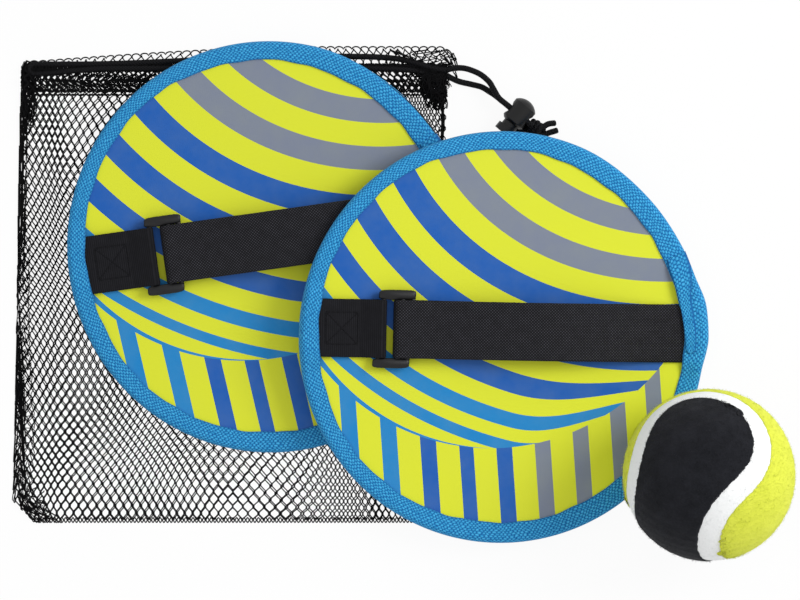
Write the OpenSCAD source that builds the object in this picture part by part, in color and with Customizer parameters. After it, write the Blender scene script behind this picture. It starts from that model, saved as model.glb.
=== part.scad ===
// Hook-and-loop catch-ball set: two strapped bats and a two-panel felt ball,
// laid out with their mesh carry bag. The set stands on z = 0.

/* [Bats] */
// Outside diameter of a bat
bat_d = 180; // [160:1:200]
// Thickness of the foam board inside a bat
core_t = 2.6; // [2:0.1:4]
// Thickness of the printed face on the strap side
print_t = 0.4; // [0.3:0.1:0.8]
// Thickness of the looped pile on the catching side
pile_t = 1.0; // [0.6:0.1:1.6]
// Width of binding tape that shows on each face
binding_w = 8.4; // [7:0.1:11]
// Thickness of the binding tape
tape_t = 0.7; // [0.5:0.1:1]
// How far the lapped end of the binding reaches in past the rest of it
lap_reach = 2.2; // [0:0.1:4]
// Angle that the lapped end covers above the strap
lap_above = 17; // [13:1:24]
// Angle that the lapped end covers below the strap
lap_below = 10; // [9:1:14]

/* [Hand strap] */
// Width of the webbing and of the elastic
strap_w = 25.4; // [20:0.1:30]
// Thickness of the elastic
strap_t = 1.5; // [1:0.1:2]
// Distance of the strap's middle above the bat's middle
strap_off = 3; // [0:0.5:6]
// Height of the strap's crown above the face, where the hand goes
hand_gap = 8.5; // [7.5:0.1:12]
// Distance of the strap's crown from the bat's middle, towards the lap
crown_x = 18; // [5:1:30]
// Length of elastic that is turned back under the strap and sewn
tail_l = 30; // [27:1:40]
// Thickness of the anchor tab's webbing
tab_t = 1.2; // [0.8:0.1:1.6]
// Distance from the bat's rim to the bar that the tab goes round
tab_reach = 38; // [34:0.5:44]
// Length that the binding covers of the tab and of the strap
tuck_l = 3; // [2:0.1:4]
// Side of the tab's box of stitching
stitch_l = 14; // [8:0.5:16]
// Thickness of the sewing thread
thread_t = 0.4; // [0.3:0.1:0.6]

/* [Buckle] */
// Length of the buckle along the strap
buckle_l = 16.2; // [15:0.1:20]
// Thickness of the buckle's side rails
buckle_t = 2.6; // [2.4:0.1:3.2]
// Width of each side rail
rail_w = 3.8; // [2.5:0.1:5]
// Radius of the buckle's outer corners
corner_r = 2.4; // [1:0.1:3]
// Radius of the bar that the tab goes round
tab_bar_r = 1.3; // [1:0.1:1.6]
// Distance of the tab's bar from the buckle's end
tab_bar_in = 3.3; // [2.6:0.1:4]
// Radius of the bar that the elastic goes round
fold_bar_r = 1.2; // [1:0.1:1.3]
// Distance between the tab's bar and the bar that the elastic goes round
bar_pitch = 7.9; // [7.4:0.1:9]
// Radius of the bar that the elastic rides over
end_bar_r = 1.1; // [0.9:0.1:1.2]

/* [Ball] */
// Outside diameter of the ball
ball_d = 74.8; // [66:0.1:80]
// Thickness of the felt
felt_t = 2.6; // [2:0.1:4]
// Wall of the rubber core
core_wall = 3.4; // [2.5:0.1:5]
// Width of the white band between the felt panels
band_w = 8.5; // [5:0.1:10]
// Share of the seam curve's first wave, which sets how deep the seam winds
seam_a = 0.68; // [0.64:0.01:0.72]
// How far the seam swings up and down, which sets how narrow the panels' waists are
seam_swing = 0.54; // [0.5:0.01:0.9]

/* [Bag] */
// Width of the bag
bag_w = 190; // [180:1:210]
// Height of the bag's front panel
bag_h = 201; // [190:1:215]
// Thickness of the knitted mesh
mesh_t = 0.5; // [0.4:0.1:0.8]
// Distance between neighbouring gaps in a row
mesh_pitch = 14; // [13:0.5:18]
// Distance between rows of gaps
mesh_row = 11.4; // [11:0.2:15]
// Width of mesh that is left between gaps
mesh_web = 1.8; // [1.2:0.1:3]
// Width of the folded side and bottom seams
seam_w = 4; // [2:0.5:8]
// Width of the hem that holds the drawcord
hem_w = 12.7; // [11:0.1:16]
// Distance that the back panel's hem stands past the front one
hem_step = 6; // [5:0.5:7]
// Thickness of one ply of the hem
ply_t = 0.4; // [0.3:0.1:0.6]
// Length of the corner where the drawcord gathers the mouth
gather_l = 14; // [10:1:18]

/* [Drawcord and lock] */
// Diameter of the drawcord
cord_d = 2.4; // [2:0.1:2.6]
// Diameter of the lock's barrel
lock_d = 10.8; // [10:0.1:12]
// Length of the lock's barrel
lock_l = 12.4; // [12:0.1:14]
// Wall of the lock's barrel
lock_wall = 1.5; // [1.2:0.1:1.8]
// Distance from the barrel's open end to the middle of its cord hole
hole_in = 4.9; // [4.5:0.1:6]
// Diameter of the button's head
button_d = 9.4; // [8:0.1:10]
// Length of the button's head
button_l = 3.2; // [2:0.1:4]
// Travel of the button
button_travel = 2; // [1:0.1:2.4]
// Wire of the lock's spring
wire_d = 0.4; // [0.3:0.05:0.5]
// Turns of the lock's spring
spring_turns = 3; // [2:1:3]

/* [Layout] */
// Distance between the middles of the two bats
bat_spread = 107; // [100:1:125]
// Direction from the back bat to the front one
spread_az = -21.7; // [-40:0.1:-10]
// Turn of the back bat
rear_turn = 8; // [-20:0.5:30]
// Turn of the front bat
front_turn = -1.1; // [-20:0.1:20]
// Direction from the front bat to the ball
ball_az = -33.5; // [-50:0.5:-25]
// Distance from the back bat's middle to the bag's left edge
bag_left_in = 114; // [104:1:125]
// Distance from the back bat's middle to the bag's bottom edge
bag_low_in = 121; // [110:1:130]

/* [Hidden] */

// Colours
lime = "#DADF3E";
binding_blue = "#3CA0D3";
strap_black = "#212126";
tab_black = "#1B1A1D";
felt_black = "#1D1E22";
felt_yellow = "#D4DD49";
band_white = "#F5F8F8";
mesh_black = "#111113";

// Clearances between pieces that aren't sewn or glued together
clear = 0.3;
touch = 0.1;
round_fn = 64;

// Heights in a bat, from its lower binding
edge_t = pile_t + core_t + print_t + 2 * tape_t;
face_z = edge_t - tape_t;
bat_r = bat_d / 2;
edge_r = edge_t / 2;
rim_r = bat_r - edge_r;
board_r = rim_r - touch;
open_r = bat_r - binding_w;

// The buckle's bars, measured from the face and from the bat's middle
bar_z = max(tab_bar_r + tab_t, fold_bar_r + strap_t, buckle_t / 2) + clear + 0.2;
tab_bar_x = tab_reach - bat_r;
fold_bar_x = tab_bar_x + bar_pitch;
buckle_x0 = tab_bar_x - tab_bar_in;
end_bar_x = buckle_x0 + buckle_l - end_bar_r;
buckle_w = strap_w + 2 * (rail_w + 2 * clear);

// The strap's run: off the buckle, over the crown and down to the face
strap_z0 = bar_z + max(fold_bar_r, end_bar_r) + clear;
strap_x0 = buckle_x0 + buckle_l;
strap_x1 = open_r - 1;
strap_end = open_r + tuck_l;
tail_x = strap_x0 + 4;
seam_x = fold_bar_x + tail_l;
run_step = 3;

// The ball, whose band's half angle follows from its width
ball_r = ball_d / 2;
core_r = ball_r - felt_t;
band_half = band_w / ball_r * 90 / PI;
ball_lie = [82.7, 22, -33.6];
wedge_reach = ball_r * 1.5;
wedge_steps = 28;
wedge_cols = 6;

// The bag lies flat: back panel, then front panel
front_mesh_z = mesh_t + clear;
bag_t = front_mesh_z + mesh_t;
bump_t = 2 * ply_t + cord_d + 2 * touch;
bump_half = cord_d / 2 + ply_t + 2;
front_hem_z = 2 * ply_t + touch;
front_cord_z = front_hem_z + bump_t / 2;
back_cord_z = bump_t / 2;
hem_top = front_hem_z + bump_t;
hem_cord_in = 6.5;

// How the bats lie: the back one on the bag's mesh and its hem, the front one on the table and on the
// back one's strap. Each is tipped up towards its high side.
rear_high = 90;
front_high = 180 + spread_az;
rear_c = [0, 0];
front_c = rear_c + bat_spread * [cos(spread_az), sin(spread_az)];
rear_floor = bag_t + clear;
bag_low = rear_c.y - bag_low_in;
bag_left = rear_c.x - bag_left_in;
bag_high = bag_low + bag_h;
front_cord_y = bag_high - hem_cord_in;
rear_tip = asin((hem_top + clear - rear_floor) / (rim_r + front_cord_y - rear_c.y));
rear_z = rear_floor + edge_r + rim_r * sin(rear_tip) - edge_r * cos(rear_tip);

// Rotations of a point: about Z, and up towards +X
function spun(p, a) = [p.x * cos(a) - p.y * sin(a), p.x * sin(a) + p.y * cos(a), p.z];
function tipped(p, t) = [p.x * cos(t) - p.z * sin(t), p.y, p.x * sin(t) + p.z * cos(t)];
// A point of the back bat where it lies
function on_rear(p) =
    [rear_c.x, rear_c.y, rear_z] + spun(tipped(spun(p, rear_turn - rear_high), rear_tip), rear_high);

// Height of the strap's underside above the face at x
function strap_h(x) =
    x < strap_x0 ? strap_z0
    : x < crown_x ? strap_z0 + (hand_gap - strap_z0) * (1 - cos(180 * (x - strap_x0) / (crown_x - strap_x0))) / 2
    : x < strap_x1 ? hand_gap * (1 + cos(180 * (x - crown_x) / (strap_x1 - crown_x))) / 2
    : 0;

// High points of the back bat under the front one: the strap's edges, the rim and the lap
strap_marks = [
    for (x = [strap_x0:2:strap_x1], s = [-1, 1])
        on_rear([x, strap_off + s * strap_w / 2, face_z + strap_h(x) + strap_t])
];
lap_marks = [
    for (a = [-lap_below:5:lap_above], r = [open_r - lap_reach, bat_r - 4])
        on_rear([r * cos(a), r * sin(a), face_z + strap_t + tape_t])
];
rim_marks = [for (a = [-90:10:90]) on_rear([rim_r * cos(a), rim_r * sin(a), edge_t])];
function ahead(p) = (p.x - front_c.x) * cos(front_high) + (p.y - front_c.y) * sin(front_high);
front_tip = max([
    for (p = concat(strap_marks, lap_marks, rim_marks))
        if (norm([p.x - front_c.x, p.y - front_c.y]) < bat_r + 1)
            asin((p.z + clear + touch) / (rim_r + ahead(p)))
]);
front_z = edge_r + rim_r * sin(front_tip) - edge_r * cos(front_tip);

// The ball stands beside the front bat, whose rounded edge reaches in under it
ball_gap = 0.8;
edge_top = edge_r + edge_r * sin(60) + 0.2;
ball_out = rim_r + edge_r * cos(60) + sqrt(pow(ball_r, 2) - pow(ball_r - edge_top, 2)) + ball_gap;
ball_c = front_c + ball_out * [cos(ball_az), sin(ball_az)];

// The whole set is centred on the origin
set_min = [min(bag_left, rear_c.x - bat_r), min(ball_c.y - ball_r, bag_low, front_c.y - bat_r)];
set_max = [max(ball_c.x + ball_r, front_c.x + bat_r), max(rear_c.y + bat_r, bag_high + hem_step)];
set_mid = (set_min + set_max) / 2;

// The drawcord's exits and the lock, from the set's own middle
lock_az = 50;
lock_c = [51.9, 82];
lock_z = lock_d / 2 + clear;
hole_x = hole_in - lock_l / 2;
cord_r = cord_d / 2;
strand_gap = 0.2;
strand_z = cord_r + strand_gap / 2;
hole_r = 2 * cord_r + strand_gap / 2 + clear + touch;
hole_c = lock_c + hole_x * [cos(lock_az), sin(lock_az)];
along = [cos(lock_az + 90), sin(lock_az + 90)];
straight_in = 13;
straight_out = 8;
lead_in = hole_c + straight_in * along;
lead_out = hole_c - straight_out * along;
bore_r = lock_d / 2 - lock_wall;
plunger_r = bore_r - clear;
plunger_end = hole_x + cord_r + clear + 2;
chamber_end = lock_l / 2 - lock_wall;
spring_r = plunger_r - wire_d;
slot_half = cord_r + clear;

upper_route = [
    [19.6, 100.6, 2.9], [21.5, 101.2, 2.9], [25, 101.6, 3.1], [29, 101, 3.8], [34, 98.5, 4.8],
    [38, 94.8, 6], [40.2, 92.2, 6.7], [lead_in.x, lead_in.y, lock_z + strand_z],
    [lead_out.x, lead_out.y, lock_z + strand_z]
];
lower_route = [
    [19.6, 98.4, 1.4], [21.6, 97.2, 1.4], [25.3, 95.6, 1.4], [30.5, 94.4, 1.4], [35, 93.4, 1.8],
    [38.6, 91.7, 3], [lead_in.x, lead_in.y, lock_z - strand_z], [lead_out.x, lead_out.y, lock_z - strand_z]
];
knot_c = [lead_out.x + 1.1, lead_out.y - 1.2, 3.4];
tail_a_route = [[61, 75.2, 3.4], [64, 77, 2.6], [67.4, 77.5, 1.8]];
tail_b_route = [[61.4, 72.4, 2.2], [65, 73.4, 1.6], [68.4, 74.4, 1.4]];

// Points round the U where the drawcord turns back inside the left seam
hem_x0 = bag_left - set_mid.x + 3.6;
hem_x1 = bag_left - set_mid.x + bag_w - gather_l;
front_run_y = front_cord_y - set_mid.y;
back_run_y = bag_high + touch + bump_half - set_mid.y;
turn_r = (back_run_y - front_run_y) / 2;
turn_x = hem_x0 + turn_r + cord_r + 2;
drawcord_route = concat(
    [[19.6, 98.4, 1.4], [12, 98, 2.1], [hem_x1 - 4, front_run_y, front_cord_z]],
    [
        for (a = [0:30:180])
            [
                turn_x - turn_r * sin(a),
                front_run_y + turn_r * (1 - cos(a)),
                front_cord_z + (back_cord_z - front_cord_z) * a / 180
            ]
    ],
    [
        [hem_x1 - 30, back_run_y, back_cord_z], [hem_x1 - 6, back_run_y - 0.8, back_cord_z],
        [hem_x1 + 4, back_run_y - 3, 2.4], [19.6, 100.6, 2.9]
    ]
);

// A tube along a route: one ring of sides at each point, square to the mean of its two legs
function unit(v) = v / norm(v);
function leg(route, i) = unit(route[min(i + 1, len(route) - 1)] - route[max(i - 1, 0)]);
function across(d) = unit(cross(d, [0, 0, 1]));
module tube(route, r, sides = 8) {
    rings = [
        for (i = [0:len(route) - 1])
            let (d = leg(route, i), u = across(d), v = cross(u, d))
                for (k = [0:sides - 1]) route[i] + r * (u * cos(360 * k / sides) + v * sin(360 * k / sides))
    ];
    n = len(route);
    polyhedron(
        points = rings,
        faces = concat(
            [[for (k = [0:sides - 1]) k]],
            [
                for (i = [0:n - 2], k = [0:sides - 1])
                    let (a = i * sides + k, b = i * sides + (k + 1) % sides)
                        each [[a, a + sides, b], [b, a + sides, b + sides]]
            ],
            [[for (k = [sides - 1:-1:0]) (n - 1) * sides + k]]
        )
    );
}

// Puts a piece of a bat where that bat lies
module lay(c, z, high, tip, turn) {
    translate([c.x - set_mid.x, c.y - set_mid.y, z])
        rotate(high)
            rotate([0, -tip, 0])
                rotate(turn - high)
                    children();
}
module lay_rear() {
    lay(rear_c, rear_z, rear_high, rear_tip, rear_turn) children();
}
module lay_front() {
    lay(front_c, front_z, front_high, front_tip, front_turn) children();
}

// A side view in x and z of something as wide as the strap, set on the face
module webbing(w = strap_w) {
    translate([0, strap_off + w / 2, face_z])
        rotate([90, 0, 0])
            linear_extrude(w)
                children();
}

module core() {
    color("#2A2C30")
        translate([0, 0, tape_t + pile_t])
            cylinder(r = board_r, h = core_t, $fn = round_fn);
}

module print_face() {
    color(lime)
        translate([0, 0, face_z - print_t])
            cylinder(r = board_r, h = print_t, $fn = round_fn);
}

module catch_face() {
    color(felt_black)
        translate([0, 0, tape_t])
            cylinder(r = board_r, h = pile_t, $fn = round_fn);
}

// Section of the tape folded round the board's edge
module tape_outline(grow = 0) {
    translate([open_r, 0])
        square([rim_r - open_r, edge_t]);
    translate([rim_r, edge_r])
        circle(r = edge_r + grow, $fn = 48);
}

// Section of the tape's rise over the tab's two plies
module rise_section() {
    top = face_z + 2 * tab_t + touch;
    low = face_z + tape_t / 2;
    root = rim_r + 0.4;
    lip = open_r - 0.4;
    polygon([
        [lip, low], [lip, top + tape_t], [rim_r - 1, top + tape_t],
        [bat_r - 1, edge_t * 0.6], [root, edge_t * 0.6], [root, low]
    ]);
}

module binding() {
    tab_a = asin((strap_w / 2 + 2) / open_r);
    color(binding_blue)
        difference() {
            union() {
                rotate_extrude($fn = round_fn)
                    difference() {
                        tape_outline();
                        translate([open_r - 1, tape_t])
                            square([rim_r - open_r + 1, edge_t - 2 * tape_t]);
                    }
                rotate(180 - tab_a - asin(strap_off / open_r))
                    rotate_extrude(angle = 2 * tab_a, $fn = round_fn)
                        rise_section();
            }
            // Room for the tab's end and for the strap's end, cut from inside the hollow
            translate([-open_r - tuck_l - touch, strap_off - strap_w / 2 - touch, face_z - touch])
                cube([tuck_l + binding_w, strap_w + 2 * touch, 2 * (tab_t + touch)]);
            translate([open_r - binding_w, strap_off - strap_w / 2 - touch, face_z - touch])
                cube([binding_w + tuck_l + touch, strap_w + 2 * touch, 2 * tape_t + touch]);
        }
}

// The tape's lapped end, over the strap's end and round the rim
module binding_lap() {
    lap_z = face_z + strap_t + touch;
    color(binding_blue)
        rotate(-lap_below)
            rotate_extrude(angle = lap_above + lap_below, $fn = round_fn)
                difference() {
                    hull() {
                        translate([open_r - lap_reach, lap_z])
                            square([1, tape_t]);
                        translate([rim_r - 2, lap_z])
                            square([1, tape_t]);
                        translate([rim_r, edge_r])
                            circle(r = edge_r + tape_t, $fn = 32);
                    }
                    translate([0, -edge_t])
                        square([2 * bat_r, edge_t * 1.35]);
                    translate([0, -1])
                        square([rim_r, lap_z + 1]);
                    translate([rim_r, edge_r])
                        circle(r = edge_r + touch, $fn = 48);
                }
}

// The anchor tab: two plies from under the binding, folded round the buckle's bar
module tab() {
    inner = tab_bar_r + clear;
    outer = inner + tab_t;
    start = -open_r - tuck_l;
    flat = tab_bar_x - 9;
    color(tab_black)
        webbing() {
            translate([tab_bar_x, bar_z])
                difference() {
                    circle(r = outer, $fn = 48);
                    circle(r = inner, $fn = 48);
                    translate([-2 * outer, -2 * outer])
                        square([2 * outer, 4 * outer]);
                }
            polygon([
                [start, 0], [flat, 0], [tab_bar_x, bar_z - outer], [tab_bar_x, bar_z - inner],
                [flat, tab_t], [tab_bar_x, bar_z + inner], [tab_bar_x, bar_z + outer],
                [flat, 2 * tab_t], [start, 2 * tab_t]
            ]);
        }
}

// A box with a cross in it, sewn through the tab
module tab_stitching() {
    half = stitch_l / 2;
    box_x = tab_bar_x - 11 - half;
    corners = [[-half, -half], [half, -half], [half, half], [-half, half]];
    seams = [[0, 1], [1, 2], [2, 3], [3, 0], [0, 2], [1, 3]];
    color("#3A3A3E")
        translate([box_x, strap_off, face_z + 2 * tab_t])
            for (s = seams) {
                p = corners[s[0]];
                q = corners[s[1]];
                translate([p.x, p.y, 0])
                    rotate(atan2(q.y - p.y, q.x - p.x))
                        translate([-thread_t / 2, -thread_t / 2, 0])
                            cube([norm(q - p) + thread_t, thread_t, thread_t / 2]);
            }
}

// The elastic: round its bar, over the end bar, up over the hand and down under the lap
module strap() {
    inner = fold_bar_r + clear;
    outer = inner + strap_t;
    run = [for (x = [strap_x0:run_step:strap_x1]) x];
    under = [for (x = run) [x, strap_h(x)]];
    over = [for (i = [len(run) - 1:-1:0]) [run[i], strap_h(run[i]) + strap_t]];
    sewn = [for (x = [tail_x + 10:run_step:seam_x]) x];
    color(strap_black)
        webbing() {
            translate([fold_bar_x, bar_z])
                difference() {
                    circle(r = outer, $fn = 48);
                    circle(r = inner, $fn = 48);
                    translate([0, -2 * outer])
                        square([2 * outer, 4 * outer]);
                }
            polygon(concat(
                [[fold_bar_x, bar_z + inner]], under, [[strap_x1, 0], [strap_end, 0]],
                [[strap_end, strap_t], [strap_x1, strap_t]], over, [[fold_bar_x, bar_z + outer]]
            ));
            polygon(concat(
                [[fold_bar_x, bar_z - outer], [tail_x - 2, bar_z - outer]],
                [for (x = sewn) [x, strap_h(x) - strap_t]],
                [for (i = [len(sewn) - 1:-1:0]) [sewn[i], strap_h(sewn[i])]],
                [[tail_x - 2, bar_z - inner], [fold_bar_x, bar_z - inner]]
            ));
        }
}

// A moulded three-bar buckle: two side rails and the bars between them
module buckle() {
    inner_w = buckle_w - 2 * rail_w;
    color("#18181B")
        translate([0, strap_off, face_z + bar_z]) {
            translate([buckle_x0, 0, -buckle_t / 2])
                linear_extrude(buckle_t)
                    difference() {
                        rounded_plate(buckle_l, buckle_w, corner_r);
                        translate([-1, -inner_w / 2])
                            square([buckle_l + 2, inner_w]);
                    }
            for (bar = [[tab_bar_x, tab_bar_r], [fold_bar_x, fold_bar_r], [end_bar_x, end_bar_r]])
                translate([bar[0], 0, 0])
                    rotate([90, 0, 0])
                        cylinder(r = bar[1], h = inner_w + 1, center = true, $fn = 32);
        }
}

// A plate from x = 0, centred on y, with round corners
module rounded_plate(l, w, r) {
    translate([r, -w / 2])
        square([l - 2 * r, w]);
    translate([0, r - w / 2])
        square([l, w - 2 * r]);
    for (x = [r, l - r], y = [r - w / 2, w / 2 - r])
        translate([x, y])
            circle(r = r, $fn = 32);
}

// A point of the ball's seam, and one pushed off it by w degrees to the yellow side
function seam(t) =
    let (b = 1 - seam_a)
        unit([
            seam_a * cos(t) + b * cos(3 * t),
            seam_a * sin(t) - b * sin(3 * t),
            seam_swing * sin(2 * t)
        ]);
function beside_seam(t, w) =
    let (c = seam(t), d = unit(seam(t + 0.5) - seam(t - 0.5)))
        cos(w) * c - sin(w) * unit(cross(c, d));

// The wedge from the ball's middle that holds one felt panel: arcs joined between mirrored points
module panel_wedge(w) {
    n = wedge_steps;
    m = wedge_cols;
    rows = [
        for (i = [1:n - 1], j = [0:m])
            let (t = 45 + 180 * i / n, p = beside_seam(t, w), q = beside_seam(90 - t, w))
                wedge_reach * unit(p * (m - j) + q * j)
    ];
    tips = [wedge_reach * beside_seam(45, w), wedge_reach * beside_seam(225, w)];
    first = (n - 1) * (m + 1);
    centre = first + 2;
    row = m + 1;
    last = (n - 2) * row;
    polyhedron(
        points = concat(rows, tips, [[0, 0, 0]]),
        faces = concat(
            [
                for (i = [0:n - 3], j = [0:m - 1])
                    let (a = i * row + j)
                        each [[a, a + 1, a + row], [a + 1, a + row + 1, a + row]]
            ],
            [for (j = [0:m - 1]) [first, j + 1, j]],
            [for (j = [0:m - 1]) [first + 1, last + j, last + j + 1]],
            [for (i = [0:n - 3]) [centre, i * row, (i + 1) * row]],
            [for (i = [0:n - 3]) [centre, (i + 1) * row + m, i * row + m]],
            [
                [centre, first, 0], [centre, m, first],
                [centre, last, first + 1], [centre, first + 1, last + m]
            ]
        )
    );
}

module at_ball() {
    translate([ball_c.x - set_mid.x, ball_c.y - set_mid.y, ball_r])
        rotate(ball_lie)
            children();
}

// The felt's shell, whose own poles are turned to lie beside the panels
module felt_shell() {
    rotate([80, 0, 50])
        difference() {
            sphere(r = ball_r, $fn = round_fn);
            sphere(r = core_r, $fn = round_fn);
        }
}

module ball_core() {
    color("#3B3B3B")
        at_ball()
            difference() {
                sphere(r = core_r, $fn = round_fn);
                sphere(r = core_r - core_wall, $fn = round_fn);
            }
}

module felt_panel() {
    intersection() {
        felt_shell();
        panel_wedge(band_half);
    }
}

// The two panels are the same, and one is turned over
module ball_black_felt() {
    color(felt_black)
        at_ball()
            rotate([180, 0, 0])
                felt_panel();
}

module ball_yellow_felt() {
    color(felt_yellow)
        at_ball()
            felt_panel();
}

// The wedge between the two panels: a closed strip that follows the seam all the way round
module band_wedge(w) {
    n = 2 * wedge_steps;
    reaches = [core_r * 0.9, wedge_reach];
    ends = [
        for (k = [0:n - 1])
            let (t = 45 + 360 * k / n)
                each [
                    reaches[0] * beside_seam(t, w), reaches[1] * beside_seam(t, w),
                    reaches[1] * beside_seam(t, -w), reaches[0] * beside_seam(t, -w)
                ]
    ];
    polyhedron(
        points = ends,
        faces = [
            for (k = [0:n - 1], c = [0:3])
                let (a = 4 * k, b = 4 * ((k + 1) % n), d = (c + 1) % 4)
                    each [[a + c, a + d, b + c], [a + d, b + d, b + c]]
        ]
    );
}

module ball_seam_band() {
    color(band_white)
        at_ball()
            intersection() {
                felt_shell();
                band_wedge(band_half);
            }
}

// The bag's outline leans in a little towards its mouth on both sides
lean_left = 4;
lean_right = 4;
bag_x0 = bag_left - set_mid.x;
bag_x1 = bag_x0 + bag_w;
bag_y0 = bag_low - set_mid.y;
bag_y1 = bag_high - set_mid.y;
function left_x(y) = bag_x0 + lean_left * (y - bag_y0) / bag_h;
function right_x(y) = bag_x1 - lean_right + lean_right * (y - bag_y0) / bag_h;
function outline(y0, y1, inset) = [
    [left_x(y0) + inset, y0], [right_x(y0) - inset, y0],
    [right_x(y1) - inset, y1], [left_x(y1) + inset, y1]
];

// A flat net: a sheet with rows of diamond gaps, each row moved on by half a gap
module net(y0, y1) {
    half = [(mesh_pitch - mesh_web * 1.3) / 2, mesh_row - mesh_web * 0.9];
    edge = seam_w + mesh_web;
    rows = floor((y1 - y0) / mesh_row) - 1;
    linear_extrude(mesh_t)
        difference() {
            polygon(outline(y0, y1, seam_w));
            for (i = [1:rows]) {
                y = y0 + i * mesh_row;
                x0 = bag_x0 + seam_w + mesh_pitch * (i % 2 == 0 ? 0.5 : 1);
                for (x = [x0:mesh_pitch:bag_x1 - seam_w])
                    if (x - half.x > left_x(y) + edge && x + half.x < right_x(y) - edge)
                        translate([x, y])
                            polygon([[half.x, 0], [0, half.y], [-half.x, 0], [0, -half.y]]);
            }
        }
}

module bag_back_mesh() {
    color(mesh_black)
        net(bag_y0 + seam_w, bag_y1 - hem_w + hem_step);
}

module bag_front_mesh() {
    color(mesh_black)
        translate([0, 0, front_mesh_z])
            net(bag_y0 + seam_w, bag_y1 - hem_w);
}

// A side seam: both panels' edges turned in and sewn, as far up as the front hem
module side_seam(right) {
    top = bag_y1 - hem_w;
    edge = right ? [right_x(bag_y0) - seam_w, right_x(top) - seam_w] : [left_x(bag_y0), left_x(top)];
    color(mesh_black)
        linear_extrude(bag_t)
            polygon([
                [edge[0], bag_y0], [edge[0] + seam_w, bag_y0], [edge[1] + seam_w, top], [edge[1], top]
            ]);
}

module bag_bottom_seam() {
    color(mesh_black)
        linear_extrude(bag_t)
            polygon([
                [left_x(bag_y0) + seam_w, bag_y0], [right_x(bag_y0) - seam_w, bag_y0],
                [right_x(bag_y0) - seam_w, bag_y0 + seam_w], [left_x(bag_y0) + seam_w, bag_y0 + seam_w]
            ]);
}

// A hem's section in y and z: two plies, raised where the cord runs between them
module hem_section(y0, y1, cord_y) {
    difference() {
        polygon([
            [y0, 0], [y1, 0], [y1, 2 * ply_t], [min(cord_y + bump_half, y1 - touch), 2 * ply_t],
            [cord_y + 1, bump_t], [cord_y - 1, bump_t], [cord_y - bump_half, 2 * ply_t], [y0, 2 * ply_t]
        ]);
        translate([cord_y, bump_t / 2])
            circle(r = cord_r + touch, $fn = 24);
    }
}

// Stands a section in y and z up along x
module along_x(x0, x1) {
    translate([x0, 0, 0])
        rotate([90, 0, 90])
            linear_extrude(x1 - x0)
                children();
}

module bag_back_hem() {
    color(mesh_black)
        along_x(hem_x0, hem_x1)
            hem_section(bag_y1 - hem_w + hem_step, bag_y1 + hem_step, back_run_y);
}

module bag_front_hem() {
    color(mesh_black)
        translate([0, 0, front_hem_z])
            along_x(hem_x0, hem_x1)
                hem_section(bag_y1 - hem_w, bag_y1, front_run_y);
}

// The corner of the mouth, drawn together in folds by the cord: the first lies low, under the bat's rim
module bag_gather() {
    folds = 5;
    spread = hem_w + 6;
    pitch = spread / folds;
    length = gather_l - 1.4;
    color(mesh_black)
        translate([hem_x1 + touch, bag_y1 - spread, bag_t + touch])
            for (i = [0:folds - 1]) {
                high = i == 0 ? hem_top / 2 : hem_top;
                translate([0, i * pitch, 0])
                    rotate([90, 0, 90])
                        linear_extrude(i == 0 ? length - 2 : length)
                            polygon([
                                [0, 0], [pitch, 0], [pitch, high * 0.55], [pitch * 0.7, high],
                                [pitch * 0.3, high], [0, high * 0.55]
                            ]);
            }
}

module drawcord() {
    color("#141416")
        tube(drawcord_route, cord_r);
}

module cord_upper() {
    color("#141416")
        tube(upper_route, cord_r);
}

module cord_lower() {
    color("#141416")
        tube(lower_route, cord_r);
}

// The knot that both strands are tied in: three turns round their core
module cord_knot() {
    turn_step = 2.3;
    color("#141416")
        translate(knot_c)
            rotate(lock_az - 90) {
                for (i = [-1:1])
                    translate([i * turn_step, 0, 0])
                        rotate([0, 90, i * 9])
                            rotate_extrude($fn = 32)
                                translate([cord_r + 0.7, 0])
                                    circle(r = cord_r, $fn = 24);
                rotate([0, 90, 0])
                    cylinder(r = cord_r + 0.4, h = 2 * turn_step + 3.4, center = true, $fn = 32);
            }
}

module cord_tail_a() {
    color("#141416")
        tube(tail_a_route, cord_r);
}

module cord_tail_b() {
    color("#141416")
        tube(tail_b_route, cord_r);
}

// Puts a revolved piece of the lock on its axis
module at_lock() {
    translate([lock_c.x, lock_c.y, lock_z])
        rotate([0, 90, lock_az])
            children();
}

// The barrel: open at the button's end, domed at the other, with the cords' hole through it
module lock_housing() {
    r = lock_d / 2;
    dome = 2.6;
    dome_r = (pow(r, 2) + pow(dome, 2)) / (2 * dome);
    color("#1E1E20")
        at_lock()
            difference() {
                intersection() {
                    translate([0, 0, -lock_l / 2])
                        cylinder(r = r, h = lock_l, $fn = round_fn);
                    translate([0, 0, lock_l / 2 - dome_r])
                        sphere(r = dome_r, $fn = round_fn);
                    translate([0, 0, -lock_l / 2 - dome_r + dome])
                        cylinder(r = r, h = dome_r + lock_l, $fn = round_fn);
                }
                translate([0, 0, -lock_l / 2 - 1])
                    cylinder(r = bore_r, h = chamber_end + lock_l / 2 + 1, $fn = round_fn);
                translate([0, 0, hole_x])
                    rotate([90, 0, 0])
                        cylinder(r = hole_r, h = 2 * lock_d, center = true, $fn = round_fn);
            }
}

// The button: a head outside the barrel, and a plunger with a slot for the cords
module lock_button() {
    seat = -lock_l / 2 - clear - button_travel;
    slot_low = hole_x - slot_half - button_travel;
    color("#232326")
        at_lock()
            difference() {
                union() {
                    translate([0, 0, seat - button_l])
                        cylinder(r = button_d / 2, h = button_l, $fn = round_fn);
                    translate([0, 0, seat - 0.5])
                        cylinder(r = plunger_r, h = plunger_end - seat + 0.5, $fn = round_fn);
                }
                translate([-hole_r, -lock_d, slot_low])
                    cube([2 * hole_r, 2 * lock_d, 2 * slot_half + button_travel]);
            }
}

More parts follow.
